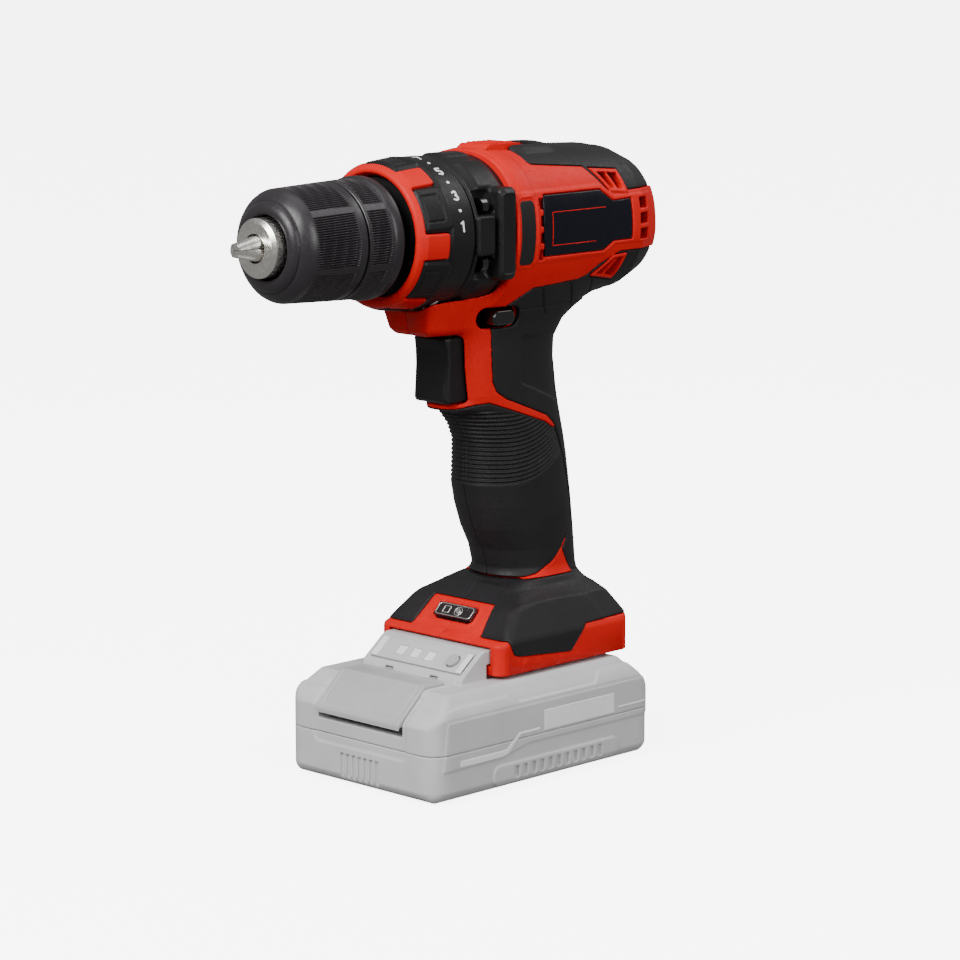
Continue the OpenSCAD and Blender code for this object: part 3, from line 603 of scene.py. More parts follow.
def black_relief(x, y, z, f):
    """Ribs, sunk pad and joint lines of the soft parts."""
    def ribs(a, b, c, g):
        s = rib_phase(a, c)
        inside = np.clip((s - 105.4) / 0.6, 0, 1) * np.clip((134.6 - 0.2 * np.abs(a - 6) - s) / 1.5, 0, 1)
        inside *= np.clip((-outline(a, c, PALM) - 0.6) / 0.8, 0, 1)
        return g - 0.34 * (np.cos(s * 2 * np.pi / 1.62) - 0.6) * inside * np.clip(np.abs(b) / 0.9, 0, 1)

    f = local(x, y, z, f, (-30, -2, 104), (12, 20, 138), ribs)
    f = local(x, y, z, f, (-40, 6, 130), (-6, 22, 164), lambda a, b, c, g: raised(
        g, outline(a, c, [(-9.8, 160.2), (-30.4, 158.2), (-32, 157), (-32, 134.6), (-30.6, 134.2),
                          (-10, 142.6), (-9, 144), (-8.8, 159)]), -0.55, 1.0))
    for (ax, az), (bx, bz) in (((-12.2, 180.6), (-18.6, 170.2)), ((-27.2, 180.6), (-35.2, 169.6)),
                               ((-37.4, 182.4), (-48.2, 169.8))):
        f = local(x, y, z, f, (bx, 4, bz), (ax, 30, az), lambda a, b, c, g, q=(ax, az, bx, bz): raised(
            g, np.abs(((a - q[0]) * (q[3] - q[1]) - (c - q[1]) * (q[2] - q[0]))
                      / math.hypot(q[2] - q[0], q[3] - q[1])) - 0.35, -0.55, 0.5))
    f = local(x, y, z, f, (-60, 0, 166), (-3, 32, 174), lambda a, b, c, g: raised(
        g, np.abs(c - 170.4 + 0.02 * (a + 20)) - 0.3 + FAR * (a < -52), -0.4, 0.6))
    f = local(x, y, z, f, (-30, -2, 216), (-2, 26, 234), lambda a, b, c, g: raised(
        g, box2(a, b, -21, 0, 10.4, 12.4, 5), 1.4, 2.6))
    f = local(x, y, z, f, (-82, -2, 164), (-54, 34, 232), lambda a, b, c, g: raised(
        g, a + 61.6 - 0.2 * np.abs(c - 200), -0.8, 0.7))
    f = local(x, y, z, f, (-58, -2, 216), (-50, 10, 232), lambda a, b, c, g: raised(
        g, box2(a, b, -54, 4.5, 1.1, 4.6, 0.8), -0.8, 0.4))
    f = local(x, y, z, f, (-60, -2, 66), (0, 22, 74), lambda a, b, c, g: raised(
        g, np.abs(c - 69.9) - 0.22, -0.5, 0.4))
    f = local(x, y, z, f, (-60, 10, 44), (20, 34, 70), lambda a, b, c, g: raised(
        g, outline(a, c, [(8, 61.2), (14, 50), (8, 44), (-19, 43), (-27.6, 51.8), (-40, 52), (-34, 62.6),
                          (-14, 64)]), 0.35, 1.6))
    return f


UNDER_SOFT = 2.0  # depth of the red surface below the outside, where it is covered
SOFT_DEPTH = 1.95  # depth of the soft parts' inner side
WALL = 3.4  # thickness of the housing
SCREWS = ((-38, 74), (-19, 74), (-30, 122), (-48, 176.7), (17, 167.4))
SEAT = 8.2  # distance of the screw heads' undersides from the middle plane


def from_screw(x, z):
    return np.minimum.reduce([np.hypot(x - a, z - c) for a, c in SCREWS])


def screw_bores(x, y, z):
    return np.maximum(from_screw(x, z) - 3.4, SEAT - y)


def screws(x, y, z):
    """The five screws that join the two halves, with six-lobed sockets."""
    r = from_screw(x, z)
    head = smax(r - 3.0, np.abs(-y - SEAT - 1.2) - 1.2, 0.7)
    lobes = np.minimum.reduce([r - 1.15] + [
        from_screw(x - 0.95 * math.cos(t * math.pi / 3), z - 0.95 * math.sin(t * math.pi / 3)) - 0.55
        for t in range(6)])
    d = np.minimum(head, smax(r - 1.5, hard(-y - SEAT, y - 4), 0.2))
    return smax(d, -hard(lobes, SEAT + 1.1 + y), 0.1)


def shape(x, y, z):
    """The outside with every opening, before it is split into its moulded parts."""
    f = body(x, y, z)
    return np.where(x > FRONT_X + 0.1, smax(f, 27.9 - np.hypot(y, z - AZ), 0.6), f)


def housing_half(x, y, z):
    out = shape(x, y, z)
    skin = openings(x, y, z, red_relief(x, y, z, out))
    reg = region(x, y, z)
    f = np.maximum(skin, np.minimum(-reg, out + UNDER_SOFT))
    f = smax(f, -np.minimum(hard(out + WALL, 52.2 - z), hard(np.hypot(y, z - AZ) - 22.8, x - 8, -9 - x)), 0.3)
    return smax(f, 0.02 - y, 0.08)


def soft_part(x, y, z, reg):
    out = shape(x, y, z)
    top = openings(x, y, z, black_relief(x, y, z, out - 0.12))
    f = smax(top, reg + 0.14, 0.7)
    f = np.maximum(f, -(out + SOFT_DEPTH))
    return smax(f, 0.08 - y, 0.4)


def back_half(x, y, z):
    """The soft parts over the spine, the top and the foot."""
    return soft_part(x, y, z, np.minimum(loop_area(x, z), skirt(x, y, z)))


def palm_half(x, y, z):
    return soft_part(x, y, z, np.maximum(outline(x, z, PALM), 69.75 - z))


HOUSING_LO, HOUSING_HI = (-BACK - 1.5, -0.6, DECK - 1), (55.5, 33.5, AZ + 32)
both_sides(("housing_left", "housing_right"), housing_half, HOUSING_LO, HOUSING_HI, 0.5, "drill_body",
           RED, ("left_housing", "right_housing"))
both_sides(("overmould_left", "overmould_right"), back_half, HOUSING_LO, (20, 33.5, AZ + 32), 0.45,
           "drill_body", RUBBER, ("left_overmould", "right_overmould"))
both_sides(("grip_left", "grip_right"), palm_half, (-40, -0.6, 68), (18, 20, 139), 0.3, "drill_body",
           RUBBER, ())


solid("shell_screws", screws, (-52, -SEAT - 3, 70), (21, 5, 181), 0.22, "drill_body", STEEL, "steel",
      ("housing_screws",))


def lamp_trim(x, y, z):
    """The bright rim of the lamp's window, with the square and the round lamp."""
    out = ((x - 9) + (z - 58.5)) * S45
    up = ((z - 58.5) - (x - 9)) * S45
    r = np.hypot(y - 1.9, up)
    marks = np.minimum.reduce([
        np.abs(box2(y, up, 0, 0, 8.8, 2.4, 1.2)) - 0.2,
        np.abs(box2(y, up, -4.1, 0, 1.5, 1.4, 0.2)) - 0.22,
        np.abs(r - 1.75) - 0.2, r - 1.1])
    return hard(marks, np.abs(out - 0.08) - 0.12)


solid("lamp_trim", lamp_trim, (2, -9.8, 55), (12, 9.8, 62), 0.12, "drill_body", NICKEL, "nickel")


def badge_half(x, y, z):
    out = shape(x, y, z)
    f = smax(out - 0.1, outline(x, z, BADGE_SHAPE) + 0.12, 0.2)
    return hard(f, -(out + 0.7), 12 - y)


def badge_line(x, y, z):
    """The thin red frame printed on the badge."""
    out = shape(x, y, z)
    edge = np.abs(box2(x, z, -28, 199.6, 15.2, 6.0, 0.3)) - 0.17
    gap = hard(-36 - 0.45 * (z - 193.6) - x, -1)
    return hard(edge, gap, np.abs(out - 0.12) - 0.09, 12 - y)


def strip_half(x, y, z):
    out = shape(x, y, z)
    f = smax(out - 0.42, rounded_panel(x, z, -3.8, 3.9, 187.4, 210.8, 2.0), 0.5)
    return hard(f, -(out + 0.3), 12 - y)


two_in_one("badges", badge_half, (-58, 14, 187), (-6, 31, 214), 0.3, "drill_body", BADGE,
           ("side_badges",))
two_in_one("badge_frame_line", badge_line, (-46, 20, 191), (-11, 31, 208), 0.16, "drill_body", RED)
two_in_one("grip_strips", strip_half, (-6, 14, 185), (5, 31, 213), 0.35, "drill_body", RUBBER)

# ---------------------------------------------------------------- gearbox, torque ring and chuck


def polar(y, z):
    """Distance from the spindle axis, and the angle from left over the top, in degrees."""
    return np.hypot(y, z - AZ), np.degrees(np.arctan2(z - AZ, y))


def arc(phi, r, centre, pitch=60.0):
    """Arc length in mm from the nearest of the features repeated every pitch degrees."""
    return np.radians((phi - centre + pitch / 2) % pitch - pitch / 2) * r


GEARBOX = [(-7.9, 20.1), (-7.9, 22.5), (5.0, 22.5), (5.0, 26.9), (20.4, 26.9), (24.2, 25.7), (24.6, 25.2),
           (24.6, 23.1), (30, 23.1), (30, 15), (50.4, 15), (50.4, 12.1), (27.6, 12.1), (27.6, 20.1)]


def gearbox(x, y, z):
    r, phi = polar(y, z)
    v, w = z - AZ, np.abs(y)
    f = outline(x, r, GEARBOX)
    bore = hard(r - 20.2, x - 27.6)
    plate = box3(x, w, v, (5.4, 12, -16.6), (14.0, 28.5, 16.6), 2.4)
    plate = raised(plate, np.abs(box2(v, x, 0, 9.9, 14.6, 3.0, 1.4)) - 0.4, 0.35, 0.5)
    block = box3(x, w, v, (15.4, 12, -7.2), (24.4, 27.6, 7.2), 1.2)
    ditch = box3(x, w, v, (13.9, 25.0, -16.6), (15.5, 40, 16.6), 0.3)
    pocket = np.minimum(box3(x, w, v, (14.0, 20.9, 7.4), (24.4, 40, 16.4), 1.8),
                        box3(x, w, v, (14.0, 20.9, -16.4), (24.4, 40, -7.4), 1.8))
    f = smin(f, plate, 1.0)
    f = smin(f, block, 0.6)
    f = smax(f, -np.minimum(pocket, ditch), 0.5)
    for c, h in ((52, 7.5), (-52, 7.5), (90, 6.0), (128, 7.5), (-128, 7.5)):
        s = np.radians((phi - c + 180) % 360 - 180) * r
        f = smin(f, box3(x, s, r, (7.5, -h, 20.4), (20, h, 27.8), 1.4), 1.2)
    f = np.minimum(f, outline(x, r, [(22.6, 22), (24.6, 22), (24.6, 26.4), (24.2, 26.8), (22.9, 26.8)]))
    f = smax(f, -bore, 0.2)
    f = smax(f, -hard(r - 12.1, x - 51), 0.2)
    return smax(f, -box3(x, y, v, (-20, -4, 18), (5.4, 4, 27), 0.3), 0.2)


solid("gearbox_case", gearbox, (-8.6, -30, AZ - 30), (51.2, 30, AZ + 30), 0.42, "drill_body", BLACK,
      "black_plastic", ("gearbox_housing",))


def ring_black(x, y, z):
    r, phi = polar(y, z)
    f = outline(x, r, [(25.4, 23.95), (25.4, 26.4), (26.0, 27.2), (36.4, 27.2), (37.0, 26.7), (47.2, 25.7),
                       (47.9, 24.9), (47.9, 23.95)])
    s = arc(phi, r, 25)
    pad = box2(x, s, 42.9, 0, 6.2, 7.9, 1.4)
    f = raised(f, pad + FAR * (r < 25), 0.75, 0.9)
    f = raised(f, np.abs(box2(x, s, 43.4, 0, 3.9, 4.9, 0.7)) - 0.28 + FAR * (r < 25), -0.42, 0.4)
    t = arc(phi, r, -5)
    f = smax(f, -box2(x, t, 46.2, 0, 8.6, 4.9, 1.2), 0.5)
    return smax(f, 23.95 - r, 0.1)


def ring_red(x, y, z):
    r, phi = polar(y, z)
    f = outline(x, r, [(30.3, 21.4), (30.3, 23.7), (48.2, 23.7), (48.2, 25.3), (48.8, 25.6), (50.4, 24.9),
                       (51.1, 23.9), (51.1, 22.9), (50.4, 22.3), (48.4, 21.4)])
    t = arc(phi, r, -5)
    finger = smax(outline(x, r, [(36, 22.8), (36, 26.9), (38, 27.2), (48, 26.2), (49.6, 25.2), (49.6, 22.8)]),
                  box2(x, t, 44.4, 0, 6.5, 4.6, 1.0), 0.7)
    f = smin(f, finger, 0.5)
    for k in range(3):
        s = arc(phi, r, 120 * k, 360)
        f = smax(f, -hard(np.abs(s) - 3.2, r - 22.6, 29 - x, x - 50.5), 0.1)
    return smax(f, 21.4 - r, 0.1)


ring_box = (24.8, -28.5, AZ - 28.5), (53.4, 28.5, AZ + 28.5)
solid("torque_ring_grip", ring_black, *ring_box, 0.34, "torque_ring", BLACK, "black_plastic",
      ("torque_collar",))
solid("torque_ring_insert", ring_red, *ring_box, 0.34, "torque_ring", RED, "red_plastic",
      ("collar_insert",))

DIGITS = {
    "1": [[(-0.5, 1.0), (0.25, 1.5), (0.25, -1.5)]],
    "2": [[(-0.8, 0.9), (-0.3, 1.45), (0.5, 1.4), (0.8, 0.8), (0.6, 0.2), (-0.85, -1.5), (0.9, -1.5)]],
    "3": [[(-0.8, 1.1), (-0.1, 1.5), (0.65, 1.3), (0.7, 0.5), (0.1, 0.05)],
          [(0.1, 0.05), (0.85, -0.4), (0.8, -1.2), (0.1, -1.5), (-0.85, -1.2)]],
    "5": [[(0.8, 1.5), (-0.7, 1.5), (-0.75, 0.2), (0.1, 0.35), (0.85, -0.1), (0.8, -1.1), (0.1, -1.5),
           (-0.8, -1.2)]],
    "7": [[(-0.85, 1.5), (0.85, 1.5), (-0.2, -1.5)]],
    "9": [[(0.75, 0.7), (0.3, 0.1), (-0.4, 0.1), (-0.8, 0.75), (-0.4, 1.4), (0.3, 1.45), (0.75, 0.9),
           (0.7, -0.4), (0.1, -1.4), (-0.6, -1.45)]],
    ".": [[(-0.12, 0), (0.12, 0)]],
    "d": [[(-0.2, 1.7), (-0.2, 0.9)], [(0.2, 1.7), (0.2, 0.9)], [(-0.5, 0.8), (0.5, 0.5)],
          [(-0.5, 0.2), (0.5, -0.1)], [(-0.5, -0.4), (0.5, -0.7)], [(-0.4, -1.0), (0, -1.7), (0.4, -1.0)]],
}


def stroke(a, b, half, place, pts, faces):
    """A rounded bar from a to b, as a thin closed slab bent round the ring."""
    ang = math.atan2(b[1] - a[1], b[0] - a[0])
    rim = [(b, ang + math.radians(t)) for t in range(-90, 91, 30)]
    rim += [(a, ang + math.radians(t)) for t in range(90, 271, 30)]
    n, base = len(rim), len(pts)
    for level in (-0.2, 0.13):
        pts.extend(place(c[0] + half * math.cos(t), c[1] + half * math.sin(t), level) for c, t in rim)
    faces.append([base + n + i for i in range(n)])
    faces.append([base + i for i in reversed(range(n))])
    faces.extend([base + i, base + (i + 1) % n, base + n + (i + 1) % n, base + n + i] for i in range(n))


def write(text, phi, x_mid, radius, size, pts, faces):
    """Characters on the ring, their tops towards rising angles, read towards the rear."""
    width = 2.3 * size
    for k, ch in enumerate(text):
        shift = (k - (len(text) - 1) / 2) * width

        def place(u, v, level, s=shift):
            a = math.radians(phi) + v * size / radius
            return (x_mid - u * size - s, (radius + level) * math.cos(a), AZ + (radius + level) * math.sin(a))

        for line in DIGITS[ch]:
            for a, b in zip(line, line[1:]):
                stroke(a, b, 0.33 if ch != "." else 0.55, place, pts, faces)


pts, faces = [], []
for k in range(12):
    write(str(2 * k + 1), 8.7 + 24 * k, 31.6, 27.2, 1.12, pts, faces)
    write(".", 20.7 + 24 * k, 31.6, 27.2, 1.0, pts, faces)
write("d", 296.7, 31.6, 27.2, 1.0, pts, faces)
new_mesh("dial_figures", pts, faces, "torque_ring", WHITE, smooth=False)


def lathe(name, section, count, body, mat, nodes=(), relief=None, sharp=30):
    """A turned piece: a closed section of (x, r), with relief(x, phi, r) in mm added outward."""
    sec = np.array(section, float)
    t = np.arange(count) * 2 * np.pi / count
    x = np.repeat(sec[:, 0][:, None], count, 1)
    r = np.repeat(sec[:, 1][:, None], count, 1)
    phi = np.repeat(t[None], len(sec), 0)
    if relief:
        r = r + relief(x, phi, r)
    pts = np.stack([x, r * np.cos(phi), AZ + r * np.sin(phi)], -1).reshape(-1, 3)
    i = np.arange(len(sec))[:, None]
    j = np.arange(count)[None]
    a, b = i * count + j, i * count + (j + 1) % count
    i2 = (i + 1) % len(sec)
    c, d = i2 * count + (j + 1) % count, i2 * count + j
    quads = np.stack([a, b, c, d], -1).reshape(-1, 4)
    obj = new_mesh(name, pts, quads, body, mat, nodes)
    split_edges(obj, sharp)
    return obj


def split_edges(obj, angle):
    """Keeps edges steeper than angle crisp while the rest shades smoothly."""
    bm = bmesh.new()
    bm.from_mesh(obj.data)
    bmesh.ops.recalc_face_normals(bm, faces=bm.faces)
    for e in bm.edges:
        e.smooth = e.is_manifold and e.calc_face_angle(0) < math.radians(angle)
    bm.to_mesh(obj.data)
    bm.free()


def spaced(a, b, n):
    return [(a[0] + (b[0] - a[0]) * i / n, a[1] + (b[1] - a[1]) * i / n) for i in range(n)]


AROUND = 1176  # points round the ribbed sleeves: 8 for each rib


def knurl(x, phi, r, x0, x1, depth, outer):
    """Six panels of fine ribs with plain bands between them."""
    deg = np.degrees(phi)
    s = (deg - 7 + 30) % 60 - 30
    side = np.clip((26.6 - np.abs(s)) / 0.6, 0, 1)
    end = np.clip((x - x0) / 0.7, 0, 1) * np.clip((x1 - x) / 0.7, 0, 1)
    wave = 0.5 - 0.5 * np.cos(phi * 147 + 0.16 * (x - x0))
    return -depth * wave ** 1.6 * side * end * (r > outer)


front = [(71.3, 17.7), (71.3, 20.2), (71.7, 20.8), (73.4, 20.85), *spaced((74.2, 20.8), (94.1, 20.0), 40),
         (94.1, 20.0), (94.9, 19.8), (96.2, 19.2), (97.4, 18.2), (98.5, 17.0), (98.95, 16.35), (99.0, 15.9),
         (99.25, 15.75), (99.5, 15.8), (99.9, 15.6), (100.6, 14.8), (101.1, 13.9), (101.4, 12.8),
         (101.3, 12.0), (100.9, 11.5), (100.2, 11.3), (96.6, 11.2), (92.6, 16.0), (84.0, 16.0), (83.5, 17.55)]
lathe("sleeve_front", front, AROUND, "front_sleeve", CHUCKB, ("chuck_sleeve",),
      lambda x, phi, r: knurl(x, phi, r, 74.8, 93.9, 0.6, 19.9))
rear = [(54.9, 17.2), (54.9, 21.3), (55.3, 21.85), (58.6, 21.95), (59.3, 21.6), (59.6, 21.3),
        *spaced((59.9, 21.25), (69.8, 20.95), 24), (69.8, 20.95), (70.4, 20.9), (70.6, 20.6), (70.6, 18.25),
        (56.6, 18.25), (56.6, 17.2)]
lathe("sleeve_rear", rear, AROUND, "spindle_and_chuck", CHUCKB, ("chuck_rear_sleeve",),
      lambda x, phi, r: knurl(x, phi, r, 60.2, 69.5, 0.6, 20.8))

# ---------------------------------------------------------------- battery pack

PX, PY = PACK_HI[0], PACK_HI[1]
TOP = DECK - 0.2
PACK_SIDE = [(-PX + 5, 0), (PX - 4, 0), (PX, 4), (PX, 28), (46, TOP), (-44, TOP), (-PX, 24), (-PX, 5)]
PACK_FRONT = [(-10, 0), (PY - 4, 0), (PY, 4), (PY, 31), (PY - 6, TOP), (-10, TOP)]


def pack(x, y, z):
    w = np.abs(y)
    f = box2(x, y, 0, 0, PX, PY, 9.5)
    side = outline(x, z, PACK_SIDE)
    face = outline(w, z, PACK_FRONT)
    return smax(smax(f, side, 2.2), face, 2.4)


def pack_relief(x, y, z, f):
    """Sunk front panel, side ledge, label plate, stripe and vents."""
    w = np.abs(y)
    f = local(x, w, z, f, (-62, 26, 24), (62, 41, 42), lambda a, b, c, g: raised(
        g, outline(a, c, [(66, 44), (66, 33.4), (50, 33.4), (44, 34.2), (18, 34.2), (14, 31.6), (-26, 31.6),
                          (-30, 35.4), (-66, 35.4), (-66, 44)]), -0.55, 0.5))
    f = local(x, w, z, f, (-60, 30, 8), (60, 41, 32), lambda a, b, c, g: raised(
        g, outline(a, c, [(53, 12.0), (51, 29.8), (-64, 29.8), (-64, 15.5), (10, 15.5), (24, 12.4)]),
        0.3, 0.6))
    f = local(x, w, z, f, (-40, 34, 1), (32, 41, 12), lambda a, b, c, g: raised(
        g, box2(a, c, -5, 5.9, 33, 3.9, 3.4), 0.5, 0.5))
    for i in range(11):
        f = cut(x, w, z, f, (-29 + 4.4 * i, PY - 1.3, 3.9), (-26.8 + 4.4 * i, PY + 3, 8.2), 0.5, 0.3)
    for i in range(7):
        f = cut(x, y, z, f, (PX - 1.5, -9.9 + 3 * i, 3), (PX + 3, -8.1 + 3 * i, 12), 0.5, 0.3)
    f = local(x, y, z, f, (40, -30, 12), (62, 30, 34), lambda a, b, c, g: raised(
        g, box2(b, c, 0, 26, 24, 11.4, 3) + FAR * (a < 40), -0.4, 0.6))
    return f


def upper_case(x, y, z):
    f = pack_relief(x, y, z, pack(x, y, z))
    head = outline(x, z, [(-37, 36), (-37, 48.9), (19.6, 48.9), (21.6, 48.0), (31, 40.6), (31.6, 39.4),
                          (31.6, 36)])
    wide = smax(np.minimum(hard(np.abs(y) - 25.6, 43.7 - z), np.minimum(np.abs(y) - 21.4,
                hard(np.abs(y) - 25.6, 18.4 - x))), head, 0.6)
    f = smin(f, wide, 0.3)
    f = smax(f, 18.08 - z, 0.25)
    f = smax(f, -hard(pack(x, y, z) + 3, 17 - z, z - 22), 0.1)
    f = smax(f, -hard(np.abs(x + 6) - 36, np.abs(y) - 33, np.abs(z - 29.3) - 7.4), 0.1)
    f = smax(f, -hard(outline(x, z, [(35.8, 45), (35.8, 32.4), (42, 32.4), (51.8, 23.1), (62, 23.1),
                                     (62, 45)]), np.abs(y) - 21.9), 0.3)
    for s in (-13.6, 9.4):
        f = smax(f, -hard(np.abs(x - 22.7) - 14.3, np.abs(y - s - 2.1) - 2.1, np.abs(z - 36) - 3.5), 0.1)
        f = smax(f, -hard(np.abs(x - 11) - 2.6, np.abs(y - s - 2.1) - 2.1, 32.6 - z), 0.1)
    for b in (-15, -7.5, 0, 7.5, 15):
        f = smax(f, -hard(np.abs(x + 31) - 7, np.abs(y - b) - 1.7, 30 - z), 0.2)
    slot = outline(x, z, [(21.9, 48.9), (30.4, 42.2), (29, 40.4), (20.9, 46.8)])
    return smax(f, -hard(slot, np.abs(y) - 23.4), 0.1)


def lower_case(x, y, z):
    f = pack_relief(x, y, z, pack(x, y, z))
    f = smax(f, z - 17.92, 0.25)
    return smax(f, -hard(pack(x, y, z) + 2.4, 2.4 - z), 0.2)


solid("pack_upper", upper_case, (-PX - 1, -PY - 1, 17), (PX + 1, PY + 1, 49.8), 0.46, "battery", GREY,
      "grey_plastic", ("battery_upper_case",))
solid("pack_lower", lower_case, (-PX - 1, -PY - 1, -0.8), (PX + 1, PY + 1, 19), 0.46, "battery", GREY,
      "grey_plastic", ("battery_lower_case",))


def release(x, y, z):
    f = outline(x, z, [(36.4, 39.8), (46, 39.8), (58.6, 28.6), (59.3, 27.4), (59.3, 22.4), (58.4, 22.4),
                       (58.4, 26.5), (54, 26.5), (43, 36.7), (36.4, 36.7)])
    f = smax(f, np.abs(y) - 21.6, 0.8)
    f = raised(f, np.abs(box2(y, x, 0, 47.4, 19.4, 9.6, 2)) - 0.35 + FAR * (z < 29), -0.4, 0.5)
    for s in (-11.5, 11.5):
        f = np.minimum(f, hard(np.abs(x - 23.1) - 13.9, np.abs(y - s) - 1.5, np.abs(z - 37.9) - 1.1))
        f = np.minimum(f, hard(np.abs(x - 11) - 1.8, np.abs(y - s) - 1.5, np.abs(z - 43.05) - 6.2))
    return f


def label(x, y, z):
    """The two pale fields printed on each side of the pack: a stripe that steps up, and a plate."""
    w = np.abs(y)
    stripe = outline(x, z, [(45, 12.9), (45, 15.2), (21.4, 15.2), (14.6, 20.4), (4, 20.4), (4, 19.5),
                            (14.0, 19.5), (20.8, 13.4), (24, 12.9)])
    thin = np.maximum(np.abs(z - 20.6) - 0.35, np.abs(x + 47) - 9)
    plate = rounded_panel(x, z, -35.8, 1.7, 18.9, 26.4, 0.3)
    mark = np.minimum(np.minimum(stripe, thin), plate)
    skin = pack_relief(x, y, z, pack(x, y, z))
    return hard(mark, np.abs(skin - 0.01) - 0.13, 30 - w)


two_in_one("pack_stripes", label, (-58, PY - 1.6, 11), (47, PY + 1.2, 28), 0.2, "battery", LIGHT,
           limit=120000)

pts, faces = [], []
for y0, y1, half in ((-23.2, -20.4, 4.4), (20.6, 23.2, 4.4), (-12.8, -8.8, 2.0), (-5.3, -1.3, 2.0),
                     (2.2, 6.2, 2.0)):
    base = len(pts)
    top = 0.3 if half > 3 else 0.12
    for h in (-0.35, top):
        for u, v in ((-half, y0), (half, y0), (half, y1), (-half, y1)):
            pts.append((25.8 + 0.7848 * u + 0.6198 * h, v, 44.7 - 0.6198 * u + 0.7848 * h))
    faces += [[base + k for k in q] for q in ((3, 2, 1, 0), (4, 5, 6, 7), (0, 1, 5, 4), (1, 2, 6, 5),
                                              (2, 3, 7, 6), (3, 0, 4, 7))]
new_mesh("gauge_marks", pts, faces, "battery", WHITE, smooth=False)
solid("pack_release", release, (8.6, -22.4, 25.6), (59, 22.4, 50), 0.4, "release_body", MID,
      "dark_grey", ("battery_release_button",))

# ---------------------------------------------------------------- trigger


def trigger(x, y, z):
    w = np.abs(y)
    side = outline(x, z, [(9.6, 161.2), (10.0, 140), (11.4, 137.8), (20.6, 137.2), (22.5, 138.5),
                          (21.4, 144.6), (20.7, 151), (21.1, 156.6), (22.5, 160.6), (21.6, 161.2)])
    plan = outline(x, w, [(0, -12), (0, 8.9), (19.8, 8.9), (22.0, 7.6), (23.0, 3.0), (23.0, -12)])
    f = smax(smax(side, plan, 0.9), w - 8.9, 0.8)
    f = raised(f, np.abs(w - 7.3) - 0.2 + FAR * (x < 16), -0.2, 0.4)
    return np.minimum(f, hard(np.hypot(y, z - 151) - 3, np.abs(x - 2) - 10))


solid("trigger_key", trigger, (-8.6, -9.6, 136.6), (23.6, 9.6, 161.9), 0.3, "trigger_body", BLACK,
      "black_plastic", ("trigger",))

def lever(x, y, z):
    """The direction lever: a flat bar through the handle with a rounded finger pad at each side."""
    w = np.abs(y)
    pad = smax(rounded_panel(x, z, -3.2, 8.2, 165.25, 170.85, 2.75), np.abs(w - 16.6) - 2.5, 1.2)
    bar = box3(x, w, z, (0.1, -1, 165.3), (4.9, 16, 170.8), 0.4)
    hub = hard(np.hypot(x - 2.5, y) - 4.4, np.abs(z - 168.05) - 2.75)
    return smax(np.minimum(smin(pad, bar, 0.4), hub), 1.65 - np.hypot(x - 2.5, y), 0.2)


solid("direction_key", lever, (-4, -20, 164.4), (9, 20, 171.8), 0.3, "direction_body", GLOSS,
      "gloss_black", ("direction_lever",))

# ---------------------------------------------------------------- CAD pieces that stay as they are

BROKEN_EDGE = {"gear_selector": 0.0006, "chuck_body": 0.0004}  # bevels wider than the usual 0.25 mm
for name in ("chuck_body", "jaw_1", "jaw_2", "jaw_3", "gear_selector", "gauge_panel",
             "gauge_button", "gearbox_screws", "led_lens", "terminal_block"):
    node = frame["nodes"][name]
    m = node.modifiers.new("edge", "BEVEL")
    m.width = BROKEN_EDGE.get(name, 0.00025)
    m.segments = 2
    m.limit_method = "ANGLE"
    m.angle_limit = math.radians(35)
for node in frame["nodes"].values():
    for p in node.data.polygons:
        p.use_smooth = False

# ---------------------------------------------------------------- floor, light and camera


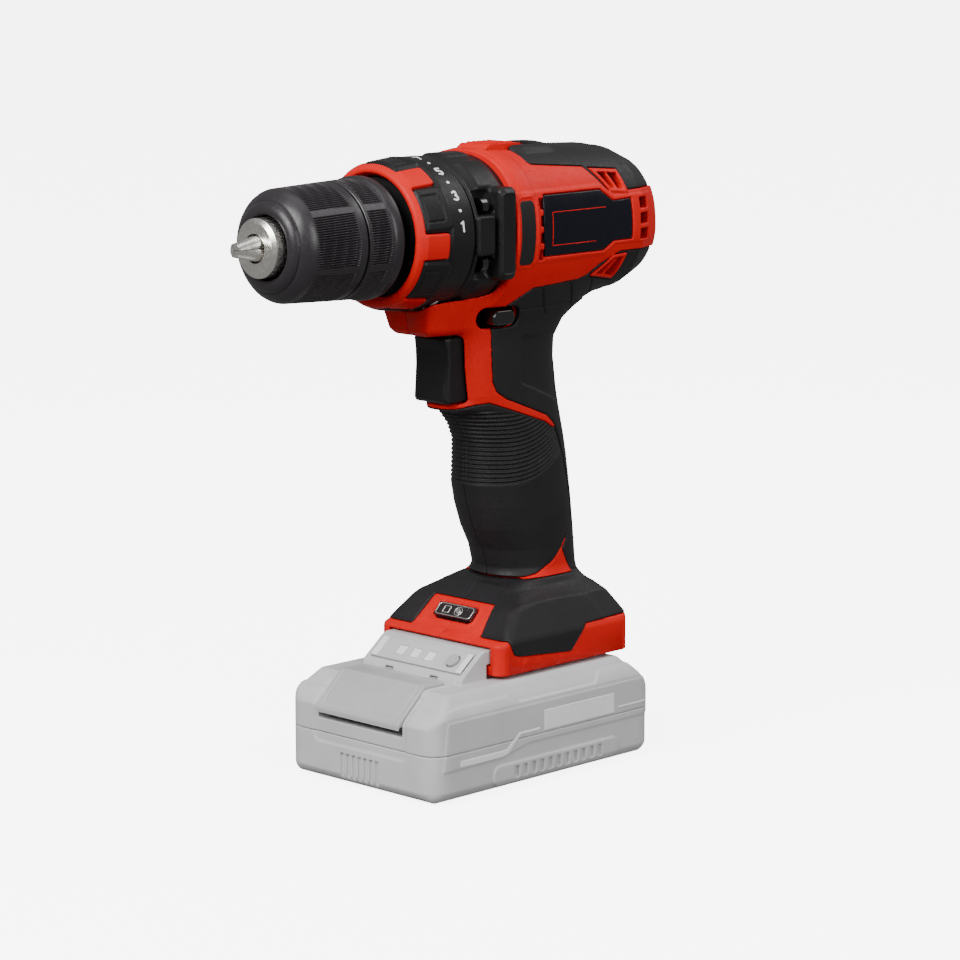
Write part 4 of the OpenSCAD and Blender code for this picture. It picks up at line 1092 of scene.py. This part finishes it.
def plain(name, colour, rough):
    n = Nodes(name)
    n.wire("Base Color", n.ramp(n.noise(0.8, 2), [(0.3, colour), (0.7, tuple(c * 0.985 for c in colour))]))
    n.put(Roughness=rough, Emission_Color=(1, 1, 1, 1), Emission_Strength=6.0)
    return n.mat


def plane(name, size, z):
    me = bpy.data.meshes.new(name)
    corners = [(-size, -size, z), (size, -size, z), (size, size, z), (-size, size, z)]
    me.from_pydata(corners, [], [(0, 1, 2, 3)])
    obj = bpy.data.objects.new(name, me)
    bpy.context.scene.collection.objects.link(obj)
    return obj


floor = plane("floor", 12, -0.0004)
floor.data.materials.append(plain("paper", (0.93, 0.93, 0.93), 0.9))
floor.visible_diffuse = False
floor.visible_glossy = False


def lamp(name, place, aim, size, power):
    """A square white area light."""
    data = bpy.data.lights.new(name, "AREA")
    data.shape, data.size, data.size_y = "RECTANGLE", size, size
    data.energy = power
    obj = bpy.data.objects.new(name, data)
    obj.location = Vector(place)
    obj.rotation_mode = "QUATERNION"
    obj.rotation_quaternion = (Vector(aim) - Vector(place)).to_track_quat("-Z", "Y")
    bpy.context.scene.collection.objects.link(obj)
    return obj


SENSOR, LENS, DISTANCE = 36, 130, 1.291  # mm, mm and m
target = Vector((-0.01501, -0.01062, 0.10297))
back = Vector((0.7024, 0.6903, 0.1736)).normalized()
lamp("key", (1.2, 0.1, 1.0), (0, 0, 0.12), 0.8, 30)
lamp("fill", (0.2, 1.3, 0.7), (0, 0, 0.12), 0.8, 12)
lamp("rim", (-1.0, 0.3, 1.0), (0, 0, 0.15), 0.6, 4.5)
lamp("overhead", (0.1, 0.1, 1.6), (0, 0, 0), 1.2, 6.5)

world = bpy.data.worlds.new("studio")
world.use_nodes = True
bg = world.node_tree.nodes["Background"]
bg.inputs["Color"].default_value = (1, 1, 1, 1)
bg.inputs["Strength"].default_value = 0.26
bpy.context.scene.world = world

camera = bpy.data.cameras.new("camera")
camera.lens, camera.sensor_width = LENS, SENSOR
camera.clip_start, camera.clip_end = 0.05, 60
eye = bpy.data.objects.new("camera", camera)
eye.location = target + back * DISTANCE
eye.rotation_mode = "QUATERNION"
eye.rotation_quaternion = (-back).to_track_quat("-Z", "Y")
bpy.context.scene.collection.objects.link(eye)
bpy.context.scene.camera = eye
